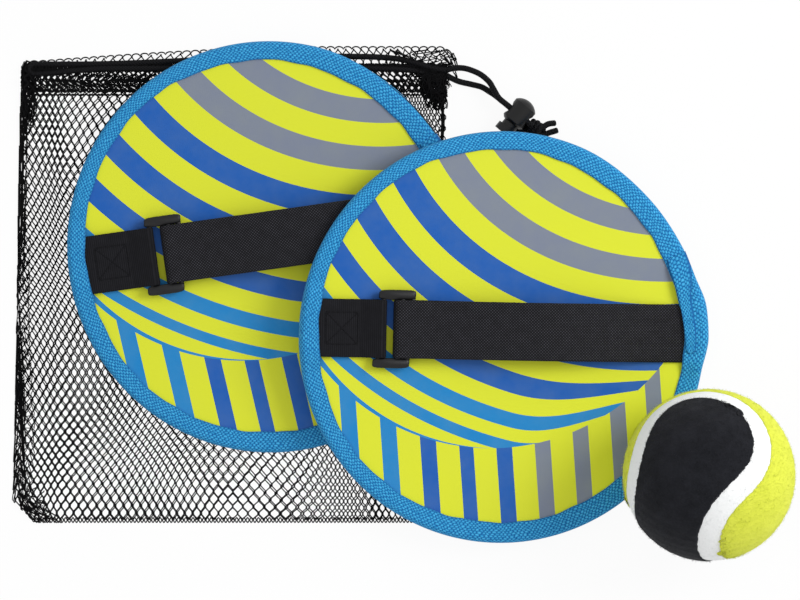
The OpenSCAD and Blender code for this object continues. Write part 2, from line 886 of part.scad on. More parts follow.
// The spring that pushes the button out: a helix of round wire
module lock_spring() {
    z0 = plunger_end + wire_d / 2 + touch;
    z1 = chamber_end - wire_d / 2 - touch;
    steps = 12 * spring_turns;
    color("#B8BCC2")
        at_lock()
            tube([
                for (i = [0:steps])
                    let (a = 360 * spring_turns * i / steps)
                        [spring_r * cos(a), spring_r * sin(a), z0 + (z1 - z0) * i / steps]
            ], wire_d / 2, 6);
}

bag_back_mesh();
bag_front_mesh();
side_seam(false);  // bag_left_seam
side_seam(true);  // bag_right_seam
bag_bottom_seam();
bag_back_hem();
bag_front_hem();
bag_gather();
drawcord();
cord_upper();
cord_lower();
cord_knot();
cord_tail_a();
cord_tail_b();
lock_housing();
lock_button();
lock_spring();
lay_rear() core();  // rear_core
lay_rear() print_face();  // rear_print_face
lay_rear() catch_face();  // rear_catch_face
lay_rear() binding();  // rear_binding
lay_rear() binding_lap();  // rear_binding_lap
lay_rear() tab();  // rear_tab
lay_rear() tab_stitching();  // rear_tab_stitching
lay_rear() strap();  // rear_strap
lay_rear() buckle();  // rear_buckle
lay_front() core();  // front_core
lay_front() print_face();  // front_print_face
lay_front() catch_face();  // front_catch_face
lay_front() binding();  // front_binding
lay_front() binding_lap();  // front_binding_lap
lay_front() tab();  // front_tab
lay_front() tab_stitching();  // front_tab_stitching
lay_front() strap();  // front_strap
lay_front() buckle();  // front_buckle
ball_core();
ball_black_felt();
ball_yellow_felt();
ball_seam_band();
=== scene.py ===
# Hook-and-loop catch-ball set: two strapped bats, a two-panel felt ball and their mesh carry bag.
# Everything is in metres, in the frame of the construction model. Sizes are written in millimetres times mm,
# and the points of routes in metres.
import math

import bmesh
import bpy
import numpy as np
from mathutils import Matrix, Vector


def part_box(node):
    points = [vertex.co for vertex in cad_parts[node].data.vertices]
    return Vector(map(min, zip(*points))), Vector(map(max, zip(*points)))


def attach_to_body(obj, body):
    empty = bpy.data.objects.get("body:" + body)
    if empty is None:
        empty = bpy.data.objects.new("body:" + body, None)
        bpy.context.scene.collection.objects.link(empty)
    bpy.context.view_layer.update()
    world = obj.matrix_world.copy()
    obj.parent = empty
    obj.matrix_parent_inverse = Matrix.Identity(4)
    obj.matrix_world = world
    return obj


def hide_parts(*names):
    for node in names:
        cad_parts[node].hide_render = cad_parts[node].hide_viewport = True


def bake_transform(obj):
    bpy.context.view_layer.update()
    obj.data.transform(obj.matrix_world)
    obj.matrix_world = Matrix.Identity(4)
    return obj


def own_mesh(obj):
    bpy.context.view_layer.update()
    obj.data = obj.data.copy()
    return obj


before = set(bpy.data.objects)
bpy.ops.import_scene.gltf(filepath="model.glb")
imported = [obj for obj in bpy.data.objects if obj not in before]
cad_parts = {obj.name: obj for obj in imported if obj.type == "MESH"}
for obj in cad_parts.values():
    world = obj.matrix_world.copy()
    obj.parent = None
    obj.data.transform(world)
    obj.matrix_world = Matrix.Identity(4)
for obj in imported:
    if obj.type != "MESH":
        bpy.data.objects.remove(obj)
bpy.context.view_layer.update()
mm = 0.001
mapShift = 0.1


# ---- colours and node helpers

def linear(hexColour):
    # sRGB to linear: low values are divided, the rest follow the 2.4 power
    parts = [int(hexColour[i:i + 2], 16) / 255 for i in (1, 3, 5)]
    return (*[c / 12.92 if c < 0.04045 else ((c + 0.055) / 1.055) ** 2.4 for c in parts], 1.0)


def addNode(tree, kind, inputs=None, **settings):
    # one node with its settings; an input that is a socket is linked, and anything else is set
    node = tree.nodes.new(kind)
    for key, value in settings.items():
        setattr(node, key, value)
    for key, value in (inputs or {}).items():
        if isinstance(value, bpy.types.NodeSocket):
            tree.links.new(value, node.inputs[key])
        else:
            node.inputs[key].default_value = value
    return node


def newMaterial(name, colour, roughness, **shader):
    # a Principled surface with its fixed values on its own sockets
    made = bpy.data.materials.new(name)
    made.use_nodes = True
    surface = made.node_tree.nodes["Principled BSDF"]
    surface.inputs["Base Color"].default_value = linear(colour)
    surface.inputs["Roughness"].default_value = roughness
    for key, value in shader.items():
        surface.inputs[key.replace("_", " ")].default_value = value
    return made, made.node_tree, surface


def mathNode(tree, operation, *values, clamp=False):
    inputs = dict(enumerate(values))
    return addNode(tree, "ShaderNodeMath", inputs, operation=operation, use_clamp=clamp).outputs[0]


def scaled(tree, value, by, plus, clamp=False):
    return mathNode(tree, "MULTIPLY_ADD", value, by, plus, clamp=clamp)


def product(tree, first, second, clamp=False):
    return mathNode(tree, "MULTIPLY", first, second, clamp=clamp)


def vectorNode(tree, operation, *values):
    return addNode(tree, "ShaderNodeVectorMath", dict(enumerate(values)), operation=operation).outputs


def planar(tree, vector):
    # the first two parts of a vector
    return addNode(tree, "ShaderNodeSeparateXYZ", {0: vector}).outputs[:2]


def mixColour(tree, factor, first, second):
    # a colour mix: hex strings are turned to linear, sockets are linked
    node = addNode(tree, "ShaderNodeMix", data_type="RGBA")
    for socket, value in ((node.inputs[0], factor), (node.inputs[6], first), (node.inputs[7], second)):
        if isinstance(value, bpy.types.NodeSocket):
            tree.links.new(value, socket)
        else:
            socket.default_value = linear(value) if isinstance(value, str) else value
    return node.outputs[2]


def paint(tree, surface, tint):
    tree.links.new(tint, surface.inputs["Base Color"])


def bump(tree, surface, height, strength, distance):
    node = addNode(tree, "ShaderNodeBump", {"Height": height, "Strength": strength, "Distance": distance})
    tree.links.new(node.outputs[0], surface.inputs["Normal"])


def noise(tree, vector, perMetre, detail=3.0, roughness=0.6):
    return addNode(
        tree, "ShaderNodeTexNoise",
        {"Vector": vector, "Scale": perMetre, "Detail": detail, "Roughness": roughness},
    ).outputs[0]


def clothUv(tree):
    # the piece's own map, in metres along and across the cloth
    return addNode(tree, "ShaderNodeUVMap", uv_map="cloth").outputs[0]


def objectPlace(tree):
    return addNode(tree, "ShaderNodeTexCoord").outputs["Object"]


def waves(tree, coordinate, pitch, phase=0.0):
    # a sine of a length in metres, from 0 to 1, with one crest each pitch
    turns = scaled(tree, coordinate, 2 * math.pi / pitch, phase)
    return scaled(tree, mathNode(tree, "SINE", turns), 0.5, 0.5)


def crossed(tree, along, across, pitch):
    # waves on both diagonals of the cloth
    sums = [mathNode(tree, operation, along, across) for operation in ("ADD", "SUBTRACT")]
    return [waves(tree, total, pitch) for total in sums]


# ---- materials

def wovenTape(name, colour, dark, light, pick, row):
    # woven polyester: short uneven floats in staggered rows, dark gaps between them, and painted shade along
    # its inner edge, where the tape's edge turns down to the print
    made, tree, surface = newMaterial(name, colour, 0.75, Specular_IOR_Level=0.14, Sheen_Weight=0.05)
    uv = clothUv(tree)
    # the yarns wander, so the map is pushed about by a soft noise
    soft = {"Vector": uv, "Scale": 0.4 / pick, "Detail": 2.0}
    push = addNode(tree, "ShaderNodeTexNoise", soft).outputs["Color"]
    wander = pick * 1.3
    moved = vectorNode(tree, "MULTIPLY_ADD", push, (wander, wander, 0), uv)[0]
    along, across = planar(tree, moved)
    rows = mathNode(tree, "DIVIDE", across, row)
    shift = product(tree, mathNode(tree, "FLOOR", rows), pick * 0.46)
    floats = waves(tree, mathNode(tree, "ADD", along, shift), pick)
    crown = waves(tree, across, row, -math.pi / 2)
    specks = noise(tree, uv, 1.0 / pick, 3.0)
    weave = product(tree, floats, scaled(tree, crown, 0.75, 0.25))
    low = mixColour(tree, scaled(tree, weave, 2.9, 0.02, clamp=True), dark, colour)
    lit = scaled(tree, specks, 3.2, -0.8, clamp=True)
    tint = mixColour(tree, product(tree, weave, lit, clamp=True), low, light)
    # painted shade: the tape goes to its dark colour over a short width from its inner edge, where shade
    # falls at the turned-down edge
    shadeWidth = 0.75 * mm
    edge = mathNode(tree, "DIVIDE", planar(tree, uv)[1], shadeWidth, clamp=True)
    paint(tree, surface, mixColour(tree, edge, dark, tint))
    bump(tree, surface, scaled(tree, specks, 0.5, weave), 0.6, 0.25 * mm)
    return made


frontRings = dict(
    centre=(102.5, 166.8), tall=1.094, slant=-0.472, bend=3.3e-4,
    grey=[(113.2, 123.0), (133.5, 143.2)], blue=[(153.8, 163.5), (173.2, 183.0), (192.8, 201.0)],
    sky=[(209.2, 215.2), (221.2, 225.8)],
)
rearRings = dict(
    centre=(82.7, 146.7), tall=1.168, slant=-0.189, bend=3.3e-4,
    grey=[(97.5, 108.0), (119.2, 130.5)], blue=[(141.8, 152.6), (163.5, 174.0), (184.0, 193.5)],
    sky=[(203.0, 210.0), (216.8, 222.0)],
)


def printedCloth(name, rings):
    # printed nylon laminated to foam: flat inks, a faint plain weave and a slight satin
    ink = dict(lime="#D9E033", grey="#7C8496", blue="#1F5CAF", sky="#1F82C4")
    arc = dict(centre=(-5.7, 48.5), radius=97.0, crescent=3.0)
    bars = dict(count=9, first=-69.8, pitch=17.02, width=7.0, lean=0.09, pivot=-50, skyEnd=-50, blueEnd=9)
    bent = dict(right=4.2, below=-13.5)
    made, tree, surface = newMaterial(name, ink["lime"], 0.55, Specular_IOR_Level=0.16)
    uv = clothUv(tree)
    # the map in millimetres from the bat's middle
    back = -mapShift / mm
    place = vectorNode(tree, "MULTIPLY_ADD", uv, (1 / mm, 1 / mm, 0), (back, back, 0))[0]
    x, y = planar(tree, place)

    def stripes(coordinate, edges, low, high):
        # steps from one ink to the next at each edge, on a ramp that spans low to high
        ramp = addNode(tree, "ShaderNodeValToRGB")
        spread = addNode(tree, "ShaderNodeMapRange", {"Value": coordinate, "From Min": low, "From Max": high})
        tree.links.new(spread.outputs[0], ramp.inputs[0])
        ramp.color_ramp.interpolation = "CONSTANT"
        stops = ramp.color_ramp.elements
        stops[0].color = linear(ink["lime"])
        stops.remove(stops[1])
        for start, end, colour in edges:
            stops.new((start - low) / (high - low)).color = linear(ink[colour])
            stops.new((end - low) / (high - low)).color = linear(ink["lime"])
        return ramp.outputs[0]

    # rings on a slanted oval: r * r = dx * dx + tall * dy * dy + slant * dx * dy, bent up at the lower right
    dx = mathNode(tree, "SUBTRACT", x, rings["centre"][0])
    dy = mathNode(tree, "SUBTRACT", y, rings["centre"][1])
    slant = product(tree, dx, rings["slant"])
    slanted = scaled(tree, dy, rings["tall"], slant)
    square = scaled(tree, dx, dx, product(tree, dy, slanted))
    right = mathNode(tree, "MAXIMUM", mathNode(tree, "SUBTRACT", x, bent["right"]), 0.0)
    below = mathNode(tree, "MAXIMUM", mathNode(tree, "SUBTRACT", bent["below"], y), 0.0)
    corner = product(tree, product(tree, right, right), below)
    radius = scaled(tree, corner, rings["bend"], mathNode(tree, "SQRT", square))
    edges = [(*pair, colour) for colour in ("grey", "blue", "sky") for pair in rings[colour]]
    ringInk = stripes(radius, edges, 40, 240)

    # upright bars below a round border
    leaned = scaled(tree, y, bars["lean"], -bars["lean"] * bars["pivot"])
    edges = []
    for i in range(bars["count"]):
        start = bars["first"] + i * bars["pitch"]
        colour = "sky" if start < bars["skyEnd"] else "blue" if start < bars["blueEnd"] else "grey"
        edges.append((start, start + bars["width"], colour))
    barInk = stripes(mathNode(tree, "ADD", x, leaned), edges, -100, 100)
    away = vectorNode(tree, "DISTANCE", place, (*arc["centre"], 0))["Value"]
    # a thin sky crescent lies inside the border at the left
    beside = (arc["centre"][0] + arc["crescent"], arc["centre"][1], 0)
    inside = vectorNode(tree, "DISTANCE", place, beside)["Value"]
    ringInk = mixColour(tree, mathNode(tree, "GREATER_THAN", inside, arc["radius"]), ringInk, ink["sky"])
    inks = mixColour(tree, mathNode(tree, "GREATER_THAN", away, arc["radius"]), ringInk, barInk)
    fade = noise(tree, uv, 60, 3.0)
    worn = mixColour(tree, scaled(tree, fade, 0.14, -0.05, clamp=True), inks, "#C9CE58")
    paint(tree, surface, worn)
    threads = [waves(tree, part, 0.9 * mm) for part in planar(tree, uv)]
    cloth = product(tree, *threads)
    bump(tree, surface, scaled(tree, fade, 1.2, cloth), 0.12, 0.1 * mm)
    return made


def elasticWeave(name, colour, light, pitch, strength):
    # woven elastic: rows of tiny diamonds with painted highlights, over straight rubber ribs
    made, tree, surface = newMaterial(name, colour, 0.6, Specular_IOR_Level=0.12)
    uv = clothUv(tree)
    along, across = planar(tree, uv)
    diamond = product(tree, *crossed(tree, along, across, pitch))
    uneven = noise(tree, uv, 0.3 / pitch, 3.0)
    spots = product(tree, mathNode(tree, "POWER", diamond, 2.0), uneven)
    # painted highlight: the diamonds' tops are mixed towards the light colour
    tint = mixColour(tree, product(tree, spots, 1.9, clamp=True), colour, light)
    paint(tree, surface, tint)
    ribs = waves(tree, across, pitch * 2)
    bump(tree, surface, scaled(tree, ribs, 0.3, diamond), strength, 0.2 * mm)
    return made


def ribbedWebbing(name, colour, light, pitch):
    # plain webbing: fine ribs across its length
    made, tree, surface = newMaterial(name, colour, 0.7, Specular_IOR_Level=0.1)
    uv = clothUv(tree)
    ribs = waves(tree, planar(tree, uv)[0], pitch)
    uneven = noise(tree, uv, 0.25 / pitch, 3.0)
    tint = mixColour(tree, product(tree, ribs, uneven), colour, light)
    paint(tree, surface, tint)
    bump(tree, surface, mathNode(tree, "ADD", ribs, uneven), 0.4, 0.15 * mm)
    return made


def brushedFelt(name, colour, light, dark):
    # needled polyester felt: matted fibres, cloudy in tone, with a faint sheen
    made, tree, surface = newMaterial(name, colour, 0.95, Specular_IOR_Level=0.08, Sheen_Weight=0.06)
    place = objectPlace(tree)
    fibres = noise(tree, place, 1 / (0.9 * mm), 5.0, 0.75)
    clouds = noise(tree, place, 1 / (7 * mm), 3.0, 0.6)
    tone = scaled(tree, fibres, 0.8, scaled(tree, clouds, 0.7, -0.25))
    tint = mixColour(tree, tone, dark, light)
    paint(tree, surface, tint)
    bump(tree, surface, scaled(tree, clouds, 0.8, fibres), 0.7, 0.5 * mm)
    return made


def braidedCord(name, colour, light, pitch):
    # braided polyester: strands cross left over right all round the cord, with painted highlights on their
    # crests
    made, tree, surface = newMaterial(name, colour, 0.68, Specular_IOR_Level=0.12)
    braid = mathNode(tree, "MAXIMUM", *crossed(tree, *planar(tree, clothUv(tree)), pitch))
    # painted highlight: the crests of the strands are mixed towards the light colour
    tint = mixColour(tree, mathNode(tree, "POWER", braid, 3.0), colour, light)
    paint(tree, surface, tint)
    bump(tree, surface, braid, 0.7, 0.3 * mm)
    return made


def knitThread(name, colour, light):
    # knitted polyester thread: dull black with a faint lighter twist
    made, tree, surface = newMaterial(name, colour, 0.75, Specular_IOR_Level=0.1)
    twist = noise(tree, objectPlace(tree), 1 / (0.8 * mm), 2.0)
    paint(tree, surface, mixColour(tree, product(tree, twist, 0.5), colour, light))
    bump(tree, surface, twist, 0.4, 0.1 * mm)
    return made


def mouldedPlastic(name, colour, roughness, grain):
    # injection moulded, with a fine spark-eroded grain that breaks up its gloss
    made, tree, surface = newMaterial(name, colour, roughness, Specular_IOR_Level=0.3)
    speckle = noise(tree, objectPlace(tree), 1 / grain, 4.0)
    rough = scaled(tree, speckle, 0.16, roughness - 0.08)
    tree.links.new(rough, surface.inputs["Roughness"])
    bump(tree, surface, speckle, 0.15, 0.05 * mm)
    return made


def loopedPile(name, colour, light):
    # brushed loop pile for the hooks: dense matted loops
    made, tree, surface = newMaterial(name, colour, 0.95, Specular_IOR_Level=0.1, Sheen_Weight=0.06)
    inputs = {"Vector": objectPlace(tree), "Scale": 1 / (0.9 * mm)}
    cells = addNode(tree, "ShaderNodeTexVoronoi", inputs).outputs["Distance"]
    paint(tree, surface, mixColour(tree, cells, colour, light))
    bump(tree, surface, cells, 0.8, 0.4 * mm)
    return made


def springWire(name):
    # drawn spring steel: bright, with faint draw lines
    made, tree, surface = newMaterial(name, "#B9BCC2", 0.28, Metallic=1.0)
    lines = noise(tree, objectPlace(tree), 1 / (0.3 * mm), 2.0)
    bump(tree, surface, lines, 0.1, 0.02 * mm)
    return made


finishes = dict(
    binding=wovenTape(
        "blue woven polyester binding tape", "#1E83C0", "#0E5A9A", "#52BEF0", 1.9 * mm, 1.15 * mm
    ),
    rearPrint=printedCloth("printed nylon of the rear bat", rearRings),
    frontPrint=printedCloth("printed nylon of the front bat", frontRings),
    elastic=elasticWeave("black woven elastic", "#0D0D10", "#4C4C54", 1.3 * mm, 0.6),
    webbing=ribbedWebbing("black polypropylene webbing", "#101013", "#26262B", 0.9 * mm),
    thread=ribbedWebbing("black polyester sewing thread", "#0C0C0E", "#2C2C31", 0.5 * mm),
    buckle=mouldedPlastic("black moulded acetal", "#0D0D0F", 0.42, 0.6 * mm),
    foam=mouldedPlastic("dark closed-cell foam board", "#2A2C30", 0.8, 1.2 * mm),
    pile=loopedPile("black loop pile", "#17181B", "#303238"),
    net=knitThread("black knitted polyester net", "#020203", "#0D0D0F"),
    cord=braidedCord("black braided polyester cord", "#010102", "#101013", 1.5 * mm),
    lock=mouldedPlastic("black moulded polypropylene", "#060607", 0.38, 0.5 * mm),
    spring=springWire("drawn spring steel"),
    rubber=mouldedPlastic("moulded natural rubber", "#3B3B3B", 0.7, 1.0 * mm),
    blackFelt=brushedFelt("black needled felt", "#141519", "#2C2D33", "#060709"),
    yellowFelt=brushedFelt("lime needled felt", "#DCE44A", "#E9EE58", "#CBD43C"),
    whiteFelt=brushedFelt("white needled felt", "#F8FAFA", "#FFFFFF", "#EEF1F1"),
)
print("materials made")


# ---- meshes from arrays

def makeMesh(name, points, faces, uv, finish, smooth=True):
    # points (n, 3) in metres, faces as lists of corners, uv one pair for each corner
    mesh = bpy.data.meshes.new(name)
    mesh.from_pydata(np.asarray(points, float).reshape(-1, 3).tolist(), [], faces)
    layer = mesh.uv_layers.new(name="cloth")
    layer.data.foreach_set("uv", np.asarray(uv, np.float32).ravel())
    mesh.polygons.foreach_set("use_smooth", [smooth] * len(mesh.polygons))
    mesh.materials.append(finishes[finish])
    mesh.validate()
    piece = bpy.data.objects.new(name, mesh)
    bpy.context.scene.collection.objects.link(piece)
    return piece


def gridFaces(rows, cols, wrapRows=False, wrapCols=False):
    # corners of each quad of a grid of points, going round rows first
    i, j = np.meshgrid(
        np.arange(rows if wrapRows else rows - 1), np.arange(cols if wrapCols else cols - 1), indexing="ij"
    )
    corners = [(i, j), (i + 1, j), (i + 1, j + 1), (i, j + 1)]
    faces = np.stack([(a % rows) * cols + b % cols for a, b in corners], -1).reshape(-1, 4)
    return faces, corners


def gridPiece(name, points, along, across, finish, wrapRows=False, wrapCols=False, outward=True):
    # a grid of points (rows, cols, 3); along and across give its map, one value more on a wrapped side
    rows, cols = points.shape[:2]
    faces, corners = gridFaces(rows, cols, wrapRows, wrapCols)
    uv = np.stack([np.stack([along[a], across[b]], -1) for a, b in corners], -2)
    piece = makeMesh(name, points, faces.tolist(), uv.reshape(-1, 2), finish)
    if outward:
        faceOutwards(piece)
    return piece


def faceOutwards(piece):
    # turns the faces of each closed shell out
    work = bmesh.new()
    work.from_mesh(piece.data)
    bmesh.ops.recalc_face_normals(work, faces=work.faces)
    work.to_mesh(piece.data)
    work.free()


def solidify(piece, thickness, offset=-1.0):
    made = piece.modifiers.new("thickness", "SOLIDIFY")
    made.thickness = thickness
    made.offset = offset


def lengthsAlong(paths):
    # how far along its path each point lies
    steps = np.linalg.norm(np.diff(paths, axis=-2), axis=-1)
    return np.concatenate([np.zeros((*steps.shape[:-1], 1)), np.cumsum(steps, -1)], -1)


def tubeParts(paths, radius, sides, up=(0, 0, 1)):
    # tubes along paths (tubes, points, 3): a ring stands square to each path point,
    # on the cross products of the path's direction with the up vector
    paths = np.asarray(paths, float)
    count, steps = paths.shape[:2]
    ahead = np.gradient(paths, axis=1)
    ahead /= np.linalg.norm(ahead, axis=-1, keepdims=True)
    side = np.cross(ahead, np.asarray(up, float))
    side /= np.linalg.norm(side, axis=-1, keepdims=True)
    over = np.cross(side, ahead)
    angle = 2 * math.pi * np.arange(sides) / sides
    radius = np.broadcast_to(radius, (count, steps))[..., None, None]
    ring = np.cos(angle)[:, None] * side[:, :, None] + np.sin(angle)[:, None] * over[:, :, None]
    points = paths[:, :, None] + radius * ring
    faces, corners = gridFaces(steps, sides, wrapCols=True)
    block = (np.arange(count) * steps * sides)[:, None, None] + faces
    run = lengthsAlong(paths)
    girth = 2 * math.pi * float(radius.flat[0]) / sides
    uv = [np.stack(np.broadcast_arrays(run[:, a], b * girth), -1) for a, b in corners]
    uv = np.stack(uv, -2).reshape(-1, 2)
    first = np.arange(sides)
    last = (steps - 1) * sides + first[::-1]
    starts = (np.arange(count) * steps * sides)[:, None]
    caps = np.concatenate([starts + first, starts + last]).tolist()
    capUv = np.zeros((2 * count * sides, 2))
    return points.reshape(-1, 3), block.reshape(-1, 4).tolist() + caps, np.concatenate([uv, capUv])


def joined(parts):
    # several sets of points, faces and maps as one
    points, faces, uv, start = [], [], [], 0
    for somePoints, someFaces, someUv in parts:
        points.append(somePoints)
        faces += [[corner + start for corner in face] for face in someFaces] if start else someFaces
        uv.append(someUv)
        start += len(somePoints)
    return np.concatenate(points), faces, np.concatenate(uv)


def smoothPath(route, count):
    # a Catmull-Rom curve through the route's points, resampled to even steps
    route = np.asarray(route, float)
    ends = np.concatenate([[2 * route[0] - route[1]], route, [2 * route[-1] - route[-2]]])
    perSpan = 24
    t = np.linspace(0, 1, perSpan, endpoint=False)[:, None]
    spans = []
    for p0, p1, p2, p3 in zip(ends, ends[1:], ends[2:], ends[3:]):
        square, cube = 2 * p0 - 5 * p1 + 4 * p2 - p3, 3 * p1 - p0 - 3 * p2 + p3
        spans.append(0.5 * (2 * p1 + (p2 - p0) * t + square * t ** 2 + cube * t ** 3))
    fine = np.concatenate(spans + [route[-1:]])
    run = lengthsAlong(fine)
    even = np.linspace(0, run[-1], count)
    return np.stack([np.interp(even, run, fine[:, k]) for k in range(3)], -1)


def ease(t):
    # 0 to 1 with a level start and end
    t = np.clip(t, 0, 1)
    return t * t * (3 - 2 * t)


def dress(node, finish):
    # gives a construction solid that stays its finish
    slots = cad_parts[node].data.materials
    slots.clear()
    slots.append(finishes[finish])


def attach(piece, body, node=None):
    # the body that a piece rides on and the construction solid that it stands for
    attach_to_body(piece, body)
    if node:
        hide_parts(node)


# ---- camera, light and floor

def setCamera():
    view = dict(above=4.0, across=350.4 * mm, middle=(-0.81 * mm, 0.0), film=36.0)
    data = bpy.data.cameras.new("overhead camera")
    data.sensor_width = view["film"]
    data.lens = view["film"] * view["above"] / view["across"]
    data.clip_end = 100
    camera = bpy.data.objects.new("overhead camera", data)
    camera.location = (*view["middle"], view["above"])
    bpy.context.scene.collection.objects.link(camera)
    bpy.context.scene.camera = camera


def addLamp(name, place, size, power):
    # a square soft lamp that faces the middle of the set
    data = bpy.data.lights.new(name, "AREA")
    data.shape = "SQUARE"
    data.size = size
    data.energy = power
    lamp = bpy.data.objects.new(name, data)
    lamp.location = place
    lamp.rotation_euler = (-Vector(place)).to_track_quat("-Z", "Y").to_euler()
    bpy.context.scene.collection.objects.link(lamp)


def seenRays(tree):
    # 1 for what the camera sees, also in a gloss or through a clear piece, and 0 for light on the pieces
    path = addNode(tree, "ShaderNodeLightPath")
    direct = mathNode(tree, "ADD", path.outputs["Is Camera Ray"], path.outputs["Is Glossy Ray"])
    return mathNode(tree, "ADD", direct, path.outputs["Is Transmission Ray"], clamp=True)


def setStage():
    light = dict(
        world=0.7, size=0.7, key=(1.15, 0.45, 0.95), keyPower=13.0, fill=(-0.9, -0.4, 1.3), fillPower=1.0,
        sweep=0.93,
    )
    world = bpy.data.worlds.new("soft studio")
    bpy.context.scene.world = world
    world.use_nodes = True
    tree = world.node_tree
    back = tree.nodes["Background"]
    strength = scaled(tree, seenRays(tree), 1 - light["world"], light["world"])
    tree.links.new(strength, back.inputs["Strength"])
    back.inputs["Color"].default_value = (1, 1, 1, 1)
    addLamp("key lamp", light["key"], light["size"], light["keyPower"])
    addLamp("fill lamp", light["fill"], light["size"], light["fillPower"])

    made = bpy.data.materials.new("white paper sweep")
    made.use_nodes = True
    tree = made.node_tree
    paper = tree.nodes["Principled BSDF"]
    paper.inputs["Base Color"].default_value = linear("#F4F4F4")
    paper.inputs["Roughness"].default_value = 0.9
    glow = addNode(tree, "ShaderNodeEmission", {"Color": (1, 1, 1, 1), "Strength": 1.0})
    share = product(tree, seenRays(tree), light["sweep"])
    mixed = addNode(tree, "ShaderNodeMixShader", {0: share, 1: paper.outputs[0], 2: glow.outputs[0]})
    tree.links.new(mixed.outputs[0], tree.nodes["Material Output"].inputs[0])
    mesh = bpy.data.meshes.new("floor")
    half = 6.0
    corners = [(x * half, y * half, 0) for x, y in ((-1, -1), (1, -1), (1, 1), (-1, 1))]
    mesh.from_pydata(corners, [], [(0, 1, 2, 3)])
    mesh.materials.append(made)
    floor = bpy.data.objects.new("floor", mesh)
    bpy.context.scene.collection.objects.link(floor)


bpy.context.scene.view_settings.view_transform = "Standard"
setCamera()
setStage()
print("camera and light set")


# ---- drawcord, knot and lock

cordSize = dict(thick=2.6 * mm, sides=14)
upperRoute = [
    (0.0196, 0.1006, 0.0029), (0.0215, 0.1012, 0.0029), (0.025, 0.1016, 0.0031), (0.029, 0.101, 0.0038),
    (0.0342, 0.0988, 0.0046), (0.0381, 0.0955, 0.0058),
    (0.0401, 0.0922, 0.0066), (0.0426, 0.0881, 0.007), (0.0465, 0.0849, 0.007), (0.057193, 0.075862, 0.007),
]
lowerRoute = [
    (0.0196, 0.0984, 0.0014), (0.0216, 0.0972, 0.0014), (0.0253, 0.0956, 0.0014), (0.0305, 0.0944, 0.0014),
    (0.035, 0.0932, 0.0018), (0.0383, 0.0912, 0.003), (0.0403, 0.0899, 0.0038),
    (0.0426, 0.0881, 0.0043), (0.0465, 0.0849, 0.0044), (0.057193, 0.075862, 0.0044),
]
tailRoutes = [
    [(0.0583, 0.0747, 0.0038), (0.061, 0.0752, 0.0034), (0.064, 0.077, 0.0026), (0.0674, 0.0775, 0.0018)],
    [(0.0583, 0.0747, 0.003), (0.0614, 0.0724, 0.0022), (0.065, 0.0734, 0.0016), (0.0684, 0.0744, 0.0014)],
]


def cordTube(path, width=cordSize["thick"] / 2, up=(0, 0, 1)):
    return tubeParts([path], width, cordSize["sides"], up)


def makeKnot():
    # the knot in both strands: turns round a short core, with a lobe beside them
    knot = dict(
        centre=(58.3 * mm, 74.7 * mm, 3.5 * mm), heading=math.radians(-40), turns=3, radius=1.75 * mm,
        length=5.6 * mm, floor=1.3 * mm, up=(0.2, 0.1, 1),
    )
    steps = np.linspace(0, 1, 90)
    angle = 2 * math.pi * knot["turns"] * steps
    axis = np.array([math.cos(knot["heading"]), math.sin(knot["heading"]), 0])
    side = np.array([-axis[1], axis[0], 0])
    swell = 1 + 0.35 * np.sin(math.pi * steps)
    helix = (
        np.array(knot["centre"]) + (steps[:, None] - 0.5) * knot["length"] * axis
        + knot["radius"] * 1.25 * (swell * np.cos(angle))[:, None] * side
        + knot["radius"] * (0.8 * np.sin(angle))[:, None] * np.array([0, 0, 1])
    )
    helix[:, 2] = np.maximum(helix[:, 2], knot["floor"])
    lobe = smoothPath([
        (0.0565, 0.076, 0.0036), (0.052, 0.0742, 0.003), (0.0478, 0.0752, 0.0026), (0.0468, 0.0772, 0.0026),
        (0.049, 0.0786, 0.0026), (0.053, 0.0772, 0.002), (0.056, 0.074, 0.002), (0.0585, 0.0738, 0.0024),
    ], 60)
    core = smoothPath([(0.0558, 0.0768, 0.0046), (0.0583, 0.0747, 0.0038), (0.0604, 0.0733, 0.003)], 20)
    parts = [cordTube(path, up=knot["up"]) for path in (helix, lobe, core)]
    return makeMesh("tied_knot", *joined(parts), "cord")


def makeTail(name, route):
    # a cut end, its tip drawn in a little
    count = 40
    width = np.full(count, cordSize["thick"] / 2)
    width[-2:] *= np.array([0.9, 0.7])
    return makeMesh(name, *cordTube(smoothPath(route, count), width), "cord")


def makeSpring():
    # the spring behind the plunger, between it and the barrel's closed end
    spring = dict(
        turns=3, wire=0.4 * mm, radius=2.9 * mm, start=2.5 * mm, stop=4.4 * mm, heading=math.radians(50),
        sides=8, steps=40,
    )
    middle = np.array([51.9 * mm, 82.0 * mm, 5.7 * mm])
    axis = np.array([math.cos(spring["heading"]), math.sin(spring["heading"]), 0])
    side = np.array([-axis[1], axis[0], 0])
    t = np.linspace(0, 1, spring["steps"] * spring["turns"])[:, None]
    angle = 2 * math.pi * spring["turns"] * t
    along = spring["start"] + (spring["stop"] - spring["start"]) * t
    circle = np.cos(angle) * side + np.sin(angle) * np.array([0, 0, 1])
    path = middle + along * axis + spring["radius"] * circle
    tube = tubeParts([path], spring["wire"] / 2, spring["sides"], tuple(axis))
    piece = makeMesh("lock_spring_wire", *tube, "spring")
    attach(piece, "lock", "lock_spring")
    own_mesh(piece)


def makeCords():
    paths = [smoothPath(route, 120) for route in (upperRoute, lowerRoute)]
    names = [("cord_strand_upper", "cord_upper"), ("cord_strand_lower", "cord_lower")]
    strands = [makeMesh(name, *cordTube(path), "cord") for (name, node), path in zip(names, paths)]
    for piece, (name, node) in zip(strands, names):
        attach(piece, "bag", node)
    knot = makeKnot()
    attach(knot, "bag", "cord_knot")
    tails = [makeTail(f"cord_end_{i}", route) for i, route in zip("ab", tailRoutes)]
    for piece, i in zip(tails, "ab"):
        attach(piece, "bag", f"cord_tail_{i}")
    for node in ("lock_housing", "lock_button"):
        dress(node, "lock")


makeSpring()
makeCords()
print("cords made")


# ---- bats

